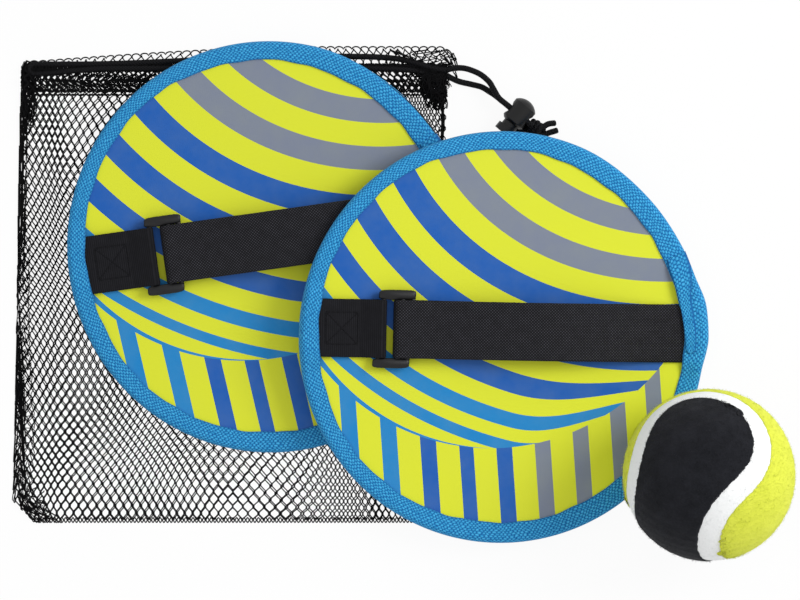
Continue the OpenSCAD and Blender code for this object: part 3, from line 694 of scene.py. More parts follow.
batSize = dict(
    radius=90 * mm, edge=5.4 * mm, tape=0.7 * mm, pile=1.0 * mm, print=0.4 * mm,
    boardRadius=87.2 * mm, rim=87.3 * mm, open=81.6 * mm,
)
face = batSize["edge"] - batSize["tape"]
strapSize = dict(
    width=25.4 * mm, thick=1.5 * mm, offset=3 * mm, start=-39.1 * mm, lift=4.7 * mm, crown=18 * mm,
    crownLift=8.5 * mm, low=80.6 * mm, end=84.6 * mm, foldBar=-44.7 * mm, foldRadius=1.2 * mm,
    barLift=3.2 * mm, tail=-35.1 * mm, seam=-14.1 * mm,
)


def turned(angle):
    c, s = math.cos(angle), math.sin(angle)
    return np.array([[c, -s, 0], [s, c, 0], [0, 0, 1]])


def layBat(name, turn, high, shift, drawn):
    # a bat's own axes: turned about Z, then tipped up towards its high side; its place comes from its
    # printed face, and the rim is drawn in a little along the strap, as the tape pulls it
    low, top = [np.array(corner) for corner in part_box(name + "_print_face")]
    tip = math.asin((top[2] - low[2] - batSize["print"]) / (2 * batSize["boardRadius"]))
    c, s = math.cos(tip), math.sin(tip)
    tipping = np.array([[c, 0, -s], [0, 1, 0], [s, 0, c]])
    high, turn = math.radians(high), math.radians(turn)
    axes = turned(high) @ tipping @ turned(turn - high)
    middle = (low + top) / 2 - axes @ np.array([0, 0, face - batSize["print"] / 2])

    def place(points):
        return np.asarray(points, float) @ axes.T + middle

    def rimPlace(points):
        return place(np.asarray(points, float) * np.array([drawn, 1, 1]) + np.array([shift, 0, 0]))
    return place, rimPlace


def strapLift(x):
    # height of the strap's underside over the face: a rise to the crown, then a long fall to the rim
    s = strapSize
    climb = np.cos(math.pi * (x - s["start"]) / (s["crown"] - s["start"]))
    sink = np.cos(math.pi * (x - s["crown"]) / (s["low"] - s["crown"]))
    rise = s["lift"] + (s["crownLift"] - s["lift"]) * (1 - climb) / 2
    fall = s["crownLift"] * (1 + sink) / 2
    return np.select([x < s["start"], x < s["crown"], x < s["low"]], [s["lift"], rise, fall], 0)


def disc(name, place, finish, count, height):
    # a disc without a pole: a square grid pressed into a circle by x * sqrt(1 - y * y / 2)
    a, b = np.meshgrid(np.linspace(-1, 1, count), np.linspace(-1, 1, count), indexing="ij")
    x, y = a * np.sqrt(1 - b * b / 2), b * np.sqrt(1 - a * a / 2)
    points = np.stack([x * batSize["boardRadius"], y * batSize["boardRadius"], height(x, y)], -1)
    faces, corners = gridFaces(count, count)
    uv = np.stack([points[i, j, :2] + mapShift for i, j in corners], -2)
    return makeMesh(name, place(points), faces.tolist(), uv.reshape(-1, 2), finish)


def makeFace(name, place, body):
    # the printed cloth, with soft ripples that die out at its rim
    def height(x, y):
        ripple = 0.07 * mm * (np.sin(5 * x + 2) * np.cos(7 * y) + np.sin(11 * x * y + 1))
        return face + ripple * (1 - np.hypot(x, y) ** 4)
    piece = disc(name + "_printed_cloth", place, name + "Print", 72, height)
    solidify(piece, batSize["print"])
    attach(piece, body, name + "_print_face")


def tapeProfile(lift):
    # the folded tape's section as (radius, height), outside then back inside; lift raises the upper leg
    b = batSize
    half, t = b["edge"] / 2, b["tape"]
    arc = np.linspace(math.pi / 2, -math.pi / 2, 17)[1:-1]
    legIn = np.linspace(b["open"], b["rim"], 6)
    lift = np.asarray(lift)[..., None]

    def leg(radii, z, amount):
        return np.broadcast_to(radii, (*lift.shape[:-1], len(radii))), z + lift * amount

    def bend(size, turn):
        # round the rim, where the lift fades out below
        fade = ease((np.sin(turn) + 0.2) / 1.2)
        return leg(b["rim"] + size * np.cos(turn), half + size * np.sin(turn), fade)
    raised, flat = np.ones(len(legIn)), np.zeros(len(legIn))
    lip = np.array([b["open"] - 0.12 * mm])
    pieces = [
        leg(legIn, b["edge"], raised), bend(half, arc), leg(legIn[::-1], 0 * legIn, flat),
        leg(lip, np.array([t / 2]), flat[:1]), leg(legIn, t + 0 * legIn, flat), bend(half - t, arc[::-1]),
        leg(legIn[::-1], b["edge"] - t + 0 * legIn, raised),
        leg(lip, np.array([b["edge"] - t / 2]), raised[:1]),
    ]
    heights = [np.broadcast_to(z, r.shape) for r, z in pieces]
    return np.concatenate([r for r, z in pieces], -1), np.concatenate(heights, -1)


def bulge(angle, centre, half, blend):
    # 1 within half of centre, easing to 0 over blend; angles in degrees
    away = np.abs((angle - centre + 180) % 360 - 180)
    return 1 - ease((away - half) / blend)


def makeBinding(name, place, body):
    edge = dict(
        steps=480, tabRise=2.5 * mm, endRise=1.7 * mm, half=8.0, blend=6.0, out=1.9 * mm, flat=1.0 * mm,
        middle=86 * mm,
    )
    # how far the tape's inner edge lies from its even place, in degrees round and millimetres outwards
    sewn = [
        (0, -1.0), (20, -2.2), (40, -2.4), (55, -1.4), (75, 0), (95, 0.6), (115, 1.6), (145, 1.5), (165, 0.5),
        (200, -0.2), (220, 0.8), (240, 0), (260, -0.4), (300, -0.9), (330, -0.6), (360, -1.0),
    ]
    angle = np.arange(edge["steps"]) * 360 / edge["steps"]
    endAt = math.degrees(math.asin(strapSize["offset"] / batSize["open"]))
    lift = edge["tabRise"] * bulge(angle, 180 - endAt, edge["half"], edge["blend"])
    lift += edge["endRise"] * bulge(angle, endAt, edge["half"], edge["blend"])
    radius, height = tapeProfile(lift)
    turn = np.radians(angle)[:, None]
    # the tape's inner edge wanders a little, and its rim stands out where its end is lapped
    wander = 0.18 * mm * (np.sin(9 * turn + 1) + np.sin(23 * turn) + 0.6 * np.sin(41 * turn + 2))
    inward = 1 - (radius - batSize["open"]) / (batSize["radius"] - batSize["open"])
    wander = wander + np.interp(angle, *np.transpose(sewn))[:, None] * mm
    rim = edge["out"] * bulge(angle, 5, 4, 10) - edge["flat"] * bulge(angle, 40, 5, 24)
    radius = radius + wander * np.maximum(inward, 0) + (1 - inward) * rim[:, None]
    points = np.stack([radius * np.cos(turn), radius * np.sin(turn), height], -1)
    around = np.concatenate([[0], np.cumsum(np.hypot(np.diff(radius[0]), np.diff(height[0]))), [0]])
    around[-1] = around[-2] + 0.4 * mm
    along = np.arange(edge["steps"] + 1) / edge["steps"] * 2 * math.pi * edge["middle"]
    piece = gridPiece(name + "_edge_binding", place(points), along, around, "binding", True, True)
    attach(piece, body, name + "_binding")


def makeLap(name, place, body):
    # the tape's lapped end: a strip that leaves the rim, runs over the strap's end and stops in a round
    # corner; its start and stop are in degrees
    lap = dict(
        start=26.0, stop=-3.8, rows=72, cols=13, thick=0.75 * mm, round=1.8, rise=1.7 * mm, middle=84 * mm,
        half=4.2 * mm,
    )
    t = np.linspace(0, 1, lap["rows"])
    angle = lap["start"] + (lap["stop"] - lap["start"]) * t
    # radii of the strip's two edges along its run
    inner = np.interp(angle, [-4, 6, 13, 18, 23, 26], [81.4, 80.1, 79.5, 79.5, 79.4, 80.4]) * mm
    outer = np.interp(angle, [-4, 3, 10, 14, 18, 22, 26], [86.0, 85.7, 84.8, 85.5, 87.5, 89.2, 89.4]) * mm
    # the round end: both edges close in over the last of the run
    last = np.clip((angle - lap["stop"]) / lap["round"], 0, 1)
    close = 1 - np.sqrt(1 - (1 - last) ** 2)
    middle = inner * 0.62 + outer * 0.38
    inner, outer = inner + (middle - inner) * close, outer + (middle - outer) * close
    w = np.linspace(0, 1, lap["cols"])[None]
    radius = inner[:, None] * (1 - w) + outer[:, None] * w
    edgeDrop = 0.25 * mm * (np.abs(2 * w - 1) ** 6)
    over = ease((lap["start"] - angle) / 9)[:, None]
    rim = np.clip((radius - batSize["rim"]) / (batSize["edge"] / 2), 0, 0.999)
    curve = (batSize["edge"] / 2) * (1 - np.sqrt(1 - rim ** 2))
    lifted = batSize["edge"] + 0.15 * mm + over * lap["rise"] - curve - edgeDrop + lap["thick"] * 0.9
    height = lifted + 0.12 * mm * np.sin(angle * 0.9)[:, None] * (1 - w)
    turn = np.radians(angle)[:, None]
    points = np.stack([radius * np.cos(turn), radius * np.sin(turn), height], -1)
    along = (lap["start"] - np.append(angle, angle[-1])) * math.pi / 180 * lap["middle"]
    # both edges get painted shade, the outer one, where the lap lies in the crease, over a wider stretch
    share = np.linspace(-1, 1, lap["cols"])
    across = np.append(lap["half"] * np.where(share < 0, 1 + share, (1 - np.abs(share)) ** 1.8), 0)
    piece = gridPiece(name + "_binding_end", place(points), along, across, "binding", outward=False)
    solidify(piece, lap["thick"])
    attach(piece, body, name + "_binding_lap")


def ribbon(centre, width, thick):
    # a flat band: a rounded strip section carried along a centreline of (x, z), square to it
    ahead = np.gradient(centre, axis=0)
    ahead /= np.linalg.norm(ahead, axis=1, keepdims=True)
    square = np.stack([-ahead[:, 1], ahead[:, 0]], -1)
    half, r = width / 2, thick / 2
    turn = np.linspace(-math.pi / 2, math.pi / 2, 7)
    flatY = np.linspace(-(half - r), half - r, 15)
    out, rise = r * np.cos(turn)[1:-1], r * np.sin(turn)[1:-1]
    y = np.concatenate([flatY, half - r + out, flatY[::-1], -(half - r) - out])
    z = np.concatenate([0 * flatY - r, rise, 0 * flatY + r, rise[::-1]])
    points = np.stack([
        centre[:, :1] + square[:, :1] * z, np.broadcast_to(y + strapSize["offset"], (len(centre), len(y))),
        centre[:, 1:] + square[:, 1:] * z,
    ], -1)
    run = lengthsAlong(centre)
    around = np.concatenate([[0], np.cumsum(np.hypot(np.diff(y), np.diff(z)))])
    return points, np.append(run, run[-1]), np.append(around, around[-1] + r)


def closedRibbon(name, place, centre, finish, width, thick):
    points, run, around = ribbon(centre, width, thick)
    rows, cols = points.shape[:2]
    faces, corners = gridFaces(rows, cols, False, True)
    uv = np.stack([np.stack([run[a], around[b]], -1) for a, b in corners], -2).reshape(-1, 2)
    ends = [list(range(cols)), [(rows - 1) * cols + k for k in range(cols)][::-1]]
    uv = np.concatenate([uv, np.zeros((2 * cols, 2))])
    piece = makeMesh(name, place(points.reshape(-1, 3)), faces.tolist() + ends, uv, finish)
    faceOutwards(piece)
    return piece


def makeStrap(name, place):
    # the elastic's centreline: sewn tail, back to its bar, half round it, over the crown and down to the rim
    s = strapSize
    half = s["thick"] / 2
    bar = s["barLift"] + face
    reach = s["foldRadius"] + 0.3 * mm + half
    tailX = np.linspace(s["seam"], s["tail"] + 10 * mm, 8)
    tail = np.stack([tailX, face + strapLift(tailX) - half], -1)
    low = np.array([[s["tail"] - 2 * mm, bar - reach], [s["foldBar"] + 1 * mm, bar - reach]])
    turn = np.radians(np.linspace(-90, -270, 13))
    fold = np.stack([s["foldBar"] + reach * np.cos(turn), bar + reach * np.sin(turn)], -1)
    topX = np.linspace(s["start"], s["low"], 60)
    top = np.stack([topX, face + strapLift(topX) + half], -1)
    end = np.array([[s["end"] - 1.5 * mm, face + half], [s["end"], face + half]])
    route = np.concatenate([tail, low, fold, top, end])
    path = smoothPath(np.insert(route, 1, 0, axis=1), 260)[:, [0, 2]]
    piece = closedRibbon(name + "_hand_strap", place, path, "elastic", s["width"], s["thick"] * 0.96)
    near = place([[s["start"] + 25 * mm, s["offset"], face + 5 * mm]])[0]
    far = place([[s["start"] - 1 * mm, s["offset"], face + 5 * mm]])[0]
    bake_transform(piece)
    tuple(near)
    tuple(far)
    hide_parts(name + "_strap")


def makeTab(name, place, body):
    # webbing folded round the buckle's bar: one centreline out, round the bar and back
    tab = dict(bar=-53.0 * mm, barRadius=1.0 * mm, thick=1.2 * mm, end=-84.6 * mm, flat=-61 * mm)
    half = tab["thick"] / 2
    bar = strapSize["barLift"] + face
    reach = tab["barRadius"] + 0.3 * mm + half
    lowX = np.linspace(tab["end"], tab["flat"], 10)
    low = np.stack([lowX, face + half + 0 * lowX], -1)
    turn = np.radians(np.linspace(-90, 90, 13))
    fold = np.stack([tab["bar"] + reach * np.cos(turn), bar + reach * np.sin(turn)], -1)
    high = np.stack([lowX[::-1], face + 3 * half + 0 * lowX], -1)
    path = smoothPath(np.insert(np.concatenate([low, fold, high]), 1, 0, axis=1), 160)[:, [0, 2]]
    thick = tab["thick"] * 0.97
    piece = closedRibbon(name + "_anchor_tab", place, path, "webbing", strapSize["width"], thick)
    attach(piece, body, name + "_tab")


def makeStitches(name, place, body):
    # a box with a cross in it, each run a row of short stitches that dip at both ends
    box = dict(middle=-70.0 * mm, half=7.0 * mm, pitch=2.2 * mm, thick=0.42 * mm)
    corners = np.array([(-1, -1), (1, -1), (1, 1), (-1, 1)]) * box["half"]
    t = np.linspace(0, 1, 7)
    runs = []
    for a, b in ((0, 1), (1, 2), (2, 3), (3, 0), (0, 2), (1, 3)):
        p, q = corners[a], corners[b]
        count = round(np.linalg.norm(q - p) / box["pitch"])
        for k in range(count):
            share = (k + 0.06 + 0.88 * t) / count
            flat = p + (q - p) * share[:, None]
            z = face + 2.4 * mm + 0.12 * mm * np.sin(math.pi * t) - 0.05 * mm
            runs.append(np.stack([box["middle"] + flat[:, 0], strapSize["offset"] + flat[:, 1], z], -1))
    paths = place(np.array(runs))
    piece = makeMesh(name + "_box_stitches", *tubeParts(paths, box["thick"] / 2, 6), "thread")
    attach(piece, body, name + "_tab_stitching")


def makeBuckle(name, place, body):
    # a moulded frame: two rails with round corners and drawn-in edges, and three round bars between them
    b = dict(start=-55.3 * mm, length=16.2 * mm, width=34.2 * mm, rail=4.4 * mm, thick=2.6 * mm, slant=0.08)
    bars = [(-53.0 * mm, 1.0 * mm), (-44.7 * mm, 1.2 * mm), (-40.2 * mm, 1.1 * mm)]
    height = face + strapSize["barLift"]
    rows, cols, power = 9, 40, 0.42
    parts = []
    turn = np.linspace(0, 2 * math.pi, cols, endpoint=False)
    halfL, halfW = b["length"] / 2, b["rail"] / 2
    x = np.sign(np.cos(turn)) * np.abs(np.cos(turn)) ** power * halfL
    y = np.sign(np.sin(turn)) * np.abs(np.sin(turn)) ** power * halfW
    level = np.linspace(-1, 1, rows)[:, None]
    shrink = 0.42 * mm * np.abs(level) ** 4
    faces = gridFaces(rows, cols, False, True)[0]
    caps = [list(range(cols)), list(range((rows - 1) * cols, rows * cols))[::-1]]
    uv = np.zeros((len(faces) * 4 + 2 * cols, 2))
    # each rail: a rounded plate whose section bulges like a moulded edge
    for side in (-1, 1):
        beside = strapSize["offset"] + side * (b["width"] / 2 - halfW)
        layers = np.stack([
            x * (1 - shrink / halfL) + (b["start"] + halfL), y * (1 - shrink / halfW) + beside,
            level * b["thick"] / 2 + 0 * x + height,
        ], -1)
        parts.append((layers.reshape(-1, 3), faces.tolist() + caps, uv))
    inner = b["width"] / 2 - b["rail"] / 2
    for x, radius in bars:
        y = np.linspace(-inner, inner, 12)
        path = np.stack([x + 0 * y, strapSize["offset"] + y, height + 0 * y], -1)
        parts.append(tubeParts([path], radius, 20))
    points, faces, uv = joined(parts)
    points[:, 0] += b["slant"] * (points[:, 1] - strapSize["offset"])
    piece = makeMesh(name + "_three_bar_buckle", place(points), faces, uv, "buckle")
    faceOutwards(piece)
    attach(piece, body, name + "_buckle")


def makePile(name, place, body):
    # the catching side: a disc of loop pile that swells a little between its rows
    def height(x, y):
        x, y = x * batSize["boardRadius"] * 900, y * batSize["boardRadius"] * 900
        return batSize["tape"] + 0.08 * mm * (np.sin(x) * np.sin(y))
    piece = disc(name + "_loop_pile", place, "pile", 60, height)
    solidify(piece, batSize["pile"], 1.0)
    attach(piece, body, name + "_catch_face")


def makeBat(name, turn, high, shift, drawn):
    place, rimPlace = layBat(name, turn, high, shift, drawn)
    body, buckle = name + "_bat", name + "_buckle"
    makeFace(name, rimPlace, body)
    makeBinding(name, rimPlace, body)
    makeLap(name, rimPlace, body)
    makeStrap(name, place)
    makeTab(name, place, body)
    makeStitches(name, place, body)
    makeBuckle(name, place, buckle)
    makePile(name, rimPlace, body)
    dress(name + "_core", "foam")
    print(name, "bat made")


makeBat("rear", 8.0, 90.0, -1.1 * mm, 0.985)
makeBat("front", -1.1, 158.3, 0.7 * mm, 0.99)


# ---- ball

ballSize = dict(wave=0.68, swing=0.54, band=9.8 * mm, felt=2.6 * mm, lie=(82.7, 22.0, -33.6))
fuzzSize = dict(floor=1.2 * mm, wide=0.09 * mm, scatter=0.25 * mm)


def ballAxes():
    low, top = [np.array(corner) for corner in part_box("ball_core")]
    x, y, z = [math.radians(v) for v in ballSize["lie"]]
    turnX = np.array([[1, 0, 0], [0, math.cos(x), -math.sin(x)], [0, math.sin(x), math.cos(x)]])
    turnY = np.array([[math.cos(y), 0, math.sin(y)], [0, 1, 0], [-math.sin(y), 0, math.cos(y)]])
    return (low + top) / 2, turned(z) @ turnY @ turnX, float(top[2] - low[2]) / 2 + ballSize["felt"]


def seamPoint(t):
    # the seam winds like a tennis ball's: a first and a third wave round, and a second wave up and down
    a, b = ballSize["wave"], 1 - ballSize["wave"]
    point = np.stack([
        a * np.cos(t) + b * np.cos(3 * t), a * np.sin(t) - b * np.sin(3 * t),
        ballSize["swing"] * np.sin(2 * t),
    ], -1)
    return point / np.linalg.norm(point, axis=-1, keepdims=True)


def besideSeam(t, off):
    # pushed off the seam by an angle, square to it on the ball
    step = 0.01
    here = seamPoint(t)
    run = seamPoint(t + step) - seamPoint(t - step)
    run /= np.linalg.norm(run, axis=-1, keepdims=True)
    off = np.asarray(off)[..., None]
    return np.cos(off) * here - np.sin(off) * np.cross(here, run)


def raggedEdge(t, seed):
    # a torn felt edge: many small waves of uneven size
    some = np.random.default_rng(seed)
    total = np.zeros_like(t)
    for wave in range(8):
        rate = some.integers(20, 260)
        total += some.uniform(0.3, 1.0) * np.sin(rate * t + some.uniform(0, 6.28)) / (1 + rate / 90)
    # the edge is even at the panel's two ends, where both its sides meet
    return total * 0.0065 * ease(np.abs(np.sin(t - math.pi / 4)) / 0.15)


def panel(name, finish, mirror, seed, centre, axes, radius):
    # rows run across the panel between mirrored points of its seam, on arcs of the ball
    n, m, first, sweep = 520, 60, 45.5, 179
    t = np.radians(first + sweep * np.arange(n + 1) / n)
    half = ballSize["band"] / (2 * radius)
    near = besideSeam(t, half + raggedEdge(t, seed))
    far = besideSeam(math.pi / 2 - t, half + raggedEdge(math.pi / 2 - t, seed))
    share = np.linspace(0, 1, m + 1)[None, :, None]
    points = near[:, None] * (1 - share) + far[:, None] * share
    points /= np.linalg.norm(points, axis=-1, keepdims=True)
    if mirror:
        points = points * np.array([1, -1, -1])
    # the felt thins at its edge and swells a little unevenly elsewhere
    edge = np.minimum(share[..., 0], 1 - share[..., 0]) * m / 2.5
    ends = np.minimum(np.arange(n + 1), n - np.arange(n + 1))[:, None] / 6
    thin = 1 - np.clip(np.minimum(edge, ends), 0, 1)
    swell = 0.10 * mm * np.sin(points[..., 0] * 31 + 2 * points[..., 2] * 17) * np.sin(points[..., 1] * 27)
    outer = points * (radius - 0.5 * mm * thin ** 2 + swell)[..., None]
    world = centre + outer @ axes.T
    run = np.linspace(0, 0.2, n + 2)
    width = np.linspace(0, 0.1, m + 2)
    piece = gridPiece(name, world, run, width, finish, outward=False)
    turnOut(piece, centre)
    solidify(piece, ballSize["felt"] * 0.8)
    return piece


def turnOut(piece, centre):
    # flips the mesh if its faces look at the ball's middle
    middle = piece.data.polygons[len(piece.data.polygons) // 2]
    if (middle.center - Vector(centre)).dot(middle.normal) < 0:
        piece.data.flip_normals()


def fuzz(name, base, centre, count, length, finish, seed):
    # short fibres that stand out of the felt, each a thin three-sided blade with a lean of its own
    some = np.random.default_rng(seed)
    co = np.zeros(len(base.data.vertices) * 3)
    base.data.vertices.foreach_get("co", co)
    co = co.reshape(-1, 3)
    root = co[some.integers(0, len(co), count)] + some.normal(0, fuzzSize["scatter"], (count, 3))
    root = root[root[:, 2] > fuzzSize["floor"]]
    count = len(root)
    out = root - centre
    out /= np.linalg.norm(out, axis=1, keepdims=True)
    lean = some.normal(0, 1, (count, 3))
    lean -= (lean * out).sum(1, keepdims=True) * out
    lean /= np.linalg.norm(lean, axis=1, keepdims=True)
    grow = some.uniform(0.5, 1.0, (count, 1)) * length
    tip = root + out * grow * 0.55 + lean * grow * 0.8
    wide = fuzzSize["wide"]
    side = np.cross(out, lean)
    back = root - side * wide * 0.5
    points = np.stack([root + side * wide, back + lean * wide, back - lean * wide, tip], 1).reshape(-1, 3)
    start = (np.arange(count) * 4)[:, None]
    sides = ([0, 1, 3], [1, 2, 3], [2, 0, 3], [2, 1, 0])
    faces = np.concatenate([start + np.array(corners) for corners in sides]).tolist()
    piece = makeMesh(name, points, faces, np.zeros((len(faces) * 3, 2)), finish)
    faceOutwards(piece)
    return piece


def makeBall():
    centre, axes, radius = ballAxes()
    fibreLength = dict(panel=0.9 * mm, band=0.7 * mm)
    for name, node, finish, mirror, seed, slot in (
        ("ball_yellow_panel", "ball_yellow_felt", "yellowFelt", False, 3, "yellow_felt"),
        ("ball_black_panel", "ball_black_felt", "blackFelt", True, 11, "black_felt"),
    ):
        piece = panel(name, finish, mirror, seed, centre, axes, radius)
        fibres = fuzz(name + "_fuzz", piece, centre, 9000, fibreLength["panel"], finish, seed + 5)
        attach(piece, "ball", node)
        attach(fibres, "ball")
    # the white band: a strip along the whole seam, a little lower than the felt
    n, m, lapped, sunk, drop = 900, 12, 0.02, 0.35 * mm, 0.25 * mm
    t = np.arange(n) * 2 * math.pi / n
    half = ballSize["band"] / (2 * radius) + lapped
    off = np.linspace(-half, half, m)
    strip = np.stack([besideSeam(t, np.full(n, w)) for w in off], 1)
    crown = radius - sunk - drop * (np.abs(off) / half) ** 2
    world = centre + (strip * crown[None, :, None]) @ axes.T
    along = np.arange(n + 1) / n * 0.35
    across = np.append(off, off[-1]) * radius + 0.01
    band = gridPiece("ball_white_band", world, along, across, "whiteFelt", True, False, outward=False)
    turnOut(band, centre)
    solidify(band, ballSize["felt"] * 0.7)
    fibres = fuzz("ball_white_band_fuzz", band, centre, 3500, fibreLength["band"], "whiteFelt", 21)
    attach(band, "ball", "ball_seam_band")
    attach(fibres, "ball")
    dress("ball_core", "rubber")
    print("ball made")


makeBall()


# ---- bag

bagSize = dict(spacing=1.85 * mm, row=2.9 * mm, thread=0.52 * mm, lean=4 * mm, hem=12.7 * mm, corner=9.5 * mm)
bagLeft = float(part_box("bag_left_seam")[0][0])
bagRight = float(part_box("bag_right_seam")[1][0])
bagBottom = float(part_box("bag_bottom_seam")[0][1])
hemTop = float(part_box("bag_front_hem")[1][1])
bagTall = hemTop - bagBottom


def bagEdge(y, side):
    # both sides lean to the right towards the mouth, and the lower left corner is turned in
    inset = bagSize["lean"] * (y - bagBottom) / bagTall
    corner = np.clip(bagBottom + bagSize["corner"] - y, 0, bagSize["corner"])
    return bagLeft + inset + corner if side < 0 else bagRight - bagSize["lean"] + inset


def within(share):
    # 0 at both ends of a share and 1 a little further in
    return np.clip(8 * np.minimum(share, 1 - share), 0, 1)


def netPaths(columns, rows, seed, uneven=1.0, drift=0.0, pull=0.0):
    # zigzag threads in a unit square: each swings to its left and right neighbour by turns, and runs
    # beside it for a short stretch, so the gaps are long hexagons; slow waves make it uneven
    some = np.random.default_rng(seed)
    k, r = np.meshgrid(np.arange(columns), np.arange(rows + 1), indexing="ij")
    side = np.where((k + r) % 2 == 0, 1.0, -1.0)
    u = np.repeat(k + 0.5 + 0.42 * side, 2, axis=1)
    v = np.stack([r - 0.2, r + 0.2], -1).reshape(columns, -1)
    u, v = u / columns, np.clip(v / rows, 0, 1)
    for wave in range(5):
        a, b, phase = some.uniform(2, 14), some.uniform(2, 14), some.uniform(0, 6.28)
        size = uneven * some.uniform(0.3, 0.8) / columns
        u = u + size * np.sin(a * u + b * v + phase) * within(u)
        v = v + size * 0.6 * np.sin(b * u - a * v + 2 * phase) * within(v)
    # the net is drawn wider in the middle and closer towards the mouth's right corner,
    # and a drift sets one net's gaps off from the other's
    u = u - 0.028 * np.sin(6.1 * u + 0.8 * v) * within(u)
    u = u + pull * ease((v - 0.45) / 0.35) * np.sin(math.pi * np.clip((u - 0.62) / 0.38, 0, 1))
    u = u + drift / columns * (0.45 * np.sin(5.4 * u + 3.4 * v + 2.9) + 1.5 * u ** 3)
    v = v + 0.5 * drift / rows * np.sin(4.1 * u - 2.2 * v) * within(v)
    return u, v, np.repeat(side, 2, axis=1)


def netTubes(x, y, z, thread=bagSize["thread"]):
    # four-sided threads through points whose x, y and z are given as rows, one row for each thread
    points = np.stack(np.broadcast_arrays(x, y, z), -1)
    return tubeParts(points.reshape(-1, *points.shape[-2:]), thread / 2, 4, (0.02, 0.03, 1))


def netPiece(name, node, parts):
    piece = makeMesh(name, *joined(parts), "net")
    attach(piece, "bag", node)
    return piece


def makePanels():
    # each net lies between the bag's two edges, with low ripples; the front one drifts against the back one
    width = bagRight - bagLeft - bagSize["lean"]
    columns = round(width / bagSize["spacing"])
    inset, ripple, pull = 1.2 * mm, 0.12 * mm, 0.045
    for name, node, top, base, drift, wave in (
        ("back_net_panel", "bag_back_mesh", hemTop - 6.7 * mm, 0.35 * mm, 0.0, 101),
        ("front_net_panel", "bag_front_mesh", hemTop - bagSize["hem"], 1.05 * mm, 0.95, 107),
    ):
        bottom = bagBottom + inset
        rows = round((top - bottom) / bagSize["row"])
        u, v, over = netPaths(columns, rows, 31, 1.0, drift, pull)
        y = bottom + v * (top - bottom)
        left, right = bagEdge(y, 1) - width + inset, bagEdge(y, 1) - inset
        x = np.maximum(left + u * (right - left), bagEdge(y, -1) + (1.2 + 6 * u) * mm)
        z = base + ripple * (1 + np.sin(x * wave + y * 55)) + ripple * over
        piece = netPiece(name, node, [netTubes(x, y, z)])
    print("net panels made")


def backTop(x):
    # the back hem's upper fold: it climbs from the left corner and drops in a curve at the right
    top = dict(start=12 * mm, run=130 * mm, climb=6.2 * mm, bend=16 * mm, round=8.6 * mm, drop=11 * mm)
    climb = np.sin(math.pi / 2 * np.clip((x - bagLeft - top["start"]) / top["run"], 0, 1))
    drop = 1 - np.sqrt(1 - np.clip((x - top["bend"]) / top["round"], 0, 0.999) ** 2)
    return hemTop + 0.4 * mm + top["climb"] * climb - top["drop"] * drop


def makeHems():
    # the front hem: two plies of net with the cord's channel between them, a folded top and two sewn lines
    hem = dict(
        left=1.0 * mm, swell=2.2 * mm, fold=3.2 * mm, stitch=0.8 * mm, thread=0.68 * mm, stitches=90,
        base=1.7 * mm, ply=0.4 * mm,
    )
    bottom = hemTop - bagSize["hem"]
    width = bagRight - bagLeft - bagSize["lean"] - 8 * mm
    columns = round(width / bagSize["spacing"])
    parts = []
    for ply in range(6):
        # the first three plies fill the whole hem, the others only its fold
        low = bottom if ply < 3 else hemTop - hem["fold"]
        rows = max(2, round((hemTop - low) / (0.75 * bagSize["row"])))
        u, v, over = netPaths(columns, rows, 43 + ply, 0.7)
        y = low + v * (hemTop - low)
        x = bagEdge(y, -1) + hem["left"] + (u + ply * 0.43 / columns) * width
        crown = np.sin(math.pi * np.clip((y - bottom) / bagSize["hem"], 0, 1))
        rise = (0.15 + 0.6 * (ply % 2)) * hem["swell"] * crown
        z = hem["base"] + (ply % 2) * hem["ply"] + rise + 0.1 * mm * over
        parts.append(netTubes(x, y, z, hem["thread"]))
    t = np.linspace(0, 1, 420)
    for height in (bottom - 0.9 * mm, bottom + 0.7 * mm):
        x = bagLeft + 9 * mm + t * (width - 6 * mm)
        y = height + 0.22 * mm * np.sin(2 * math.pi * t * hem["stitches"])
        z = 2.35 * mm + 0.2 * mm * np.cos(2 * math.pi * t * hem["stitches"])
        parts.append(netTubes(x, y, z, hem["stitch"]))
    netPiece("front_hem_channel", "bag_front_hem", parts)

    # the back hem: rows of net up to a fold of round loops, and a loose fold at its right end
    parts = []
    back = dict(rows=4, tall=12.0 * mm, left=6 * mm, right=24.4 * mm, thread=0.55 * mm, loop=0.6 * mm)
    reach = back["right"] - bagLeft - back["left"]
    columns = 2 * round(reach / bagSize["spacing"] / 2)
    u, v, over = netPaths(columns, back["rows"], 41, 0.0)
    x = bagLeft + back["left"] + u * reach
    y = backTop(x) - back["tall"] * (1 - v) * (1 - 0.45 * ease((x - 2 * mm) / (20 * mm)))
    z = 0.6 * mm + 1.6 * mm * np.sin(math.pi * v) + 0.1 * mm * over + 0.8 * mm * ease(x / (20 * mm))
    parts.append(netTubes(x, y, z, back["thread"]))
    t = np.linspace(0, 1, columns * 5 + 1)
    x = bagLeft + back["left"] + t * reach
    loop = np.sqrt(np.abs(np.cos(math.pi / 2 * columns * t)))
    y = backTop(x) - 0.2 * mm + 1.1 * mm * loop
    z = 1.0 * mm + 0.5 * mm * loop
    parts.append(netTubes(x, y, z, back["loop"]))
    # the second ply of the loose fold, laid at a slant to the first
    u, v, over = netPaths(20, 4, 47, 1.5)
    x = -9 * mm + u * 31 * mm
    y = backTop(x) - 0.6 * mm - (10 * mm - 4 * mm * u) * (1 - v)
    z = 1.4 * mm + 1.8 * mm * np.sin(math.pi * v) + 0.1 * mm * over
    parts.append(netTubes(x + 2.5 * mm * v, y, z, 0.5 * mm))
    netPiece("back_hem_channel", "bag_back_hem", parts)
    print("hems made")


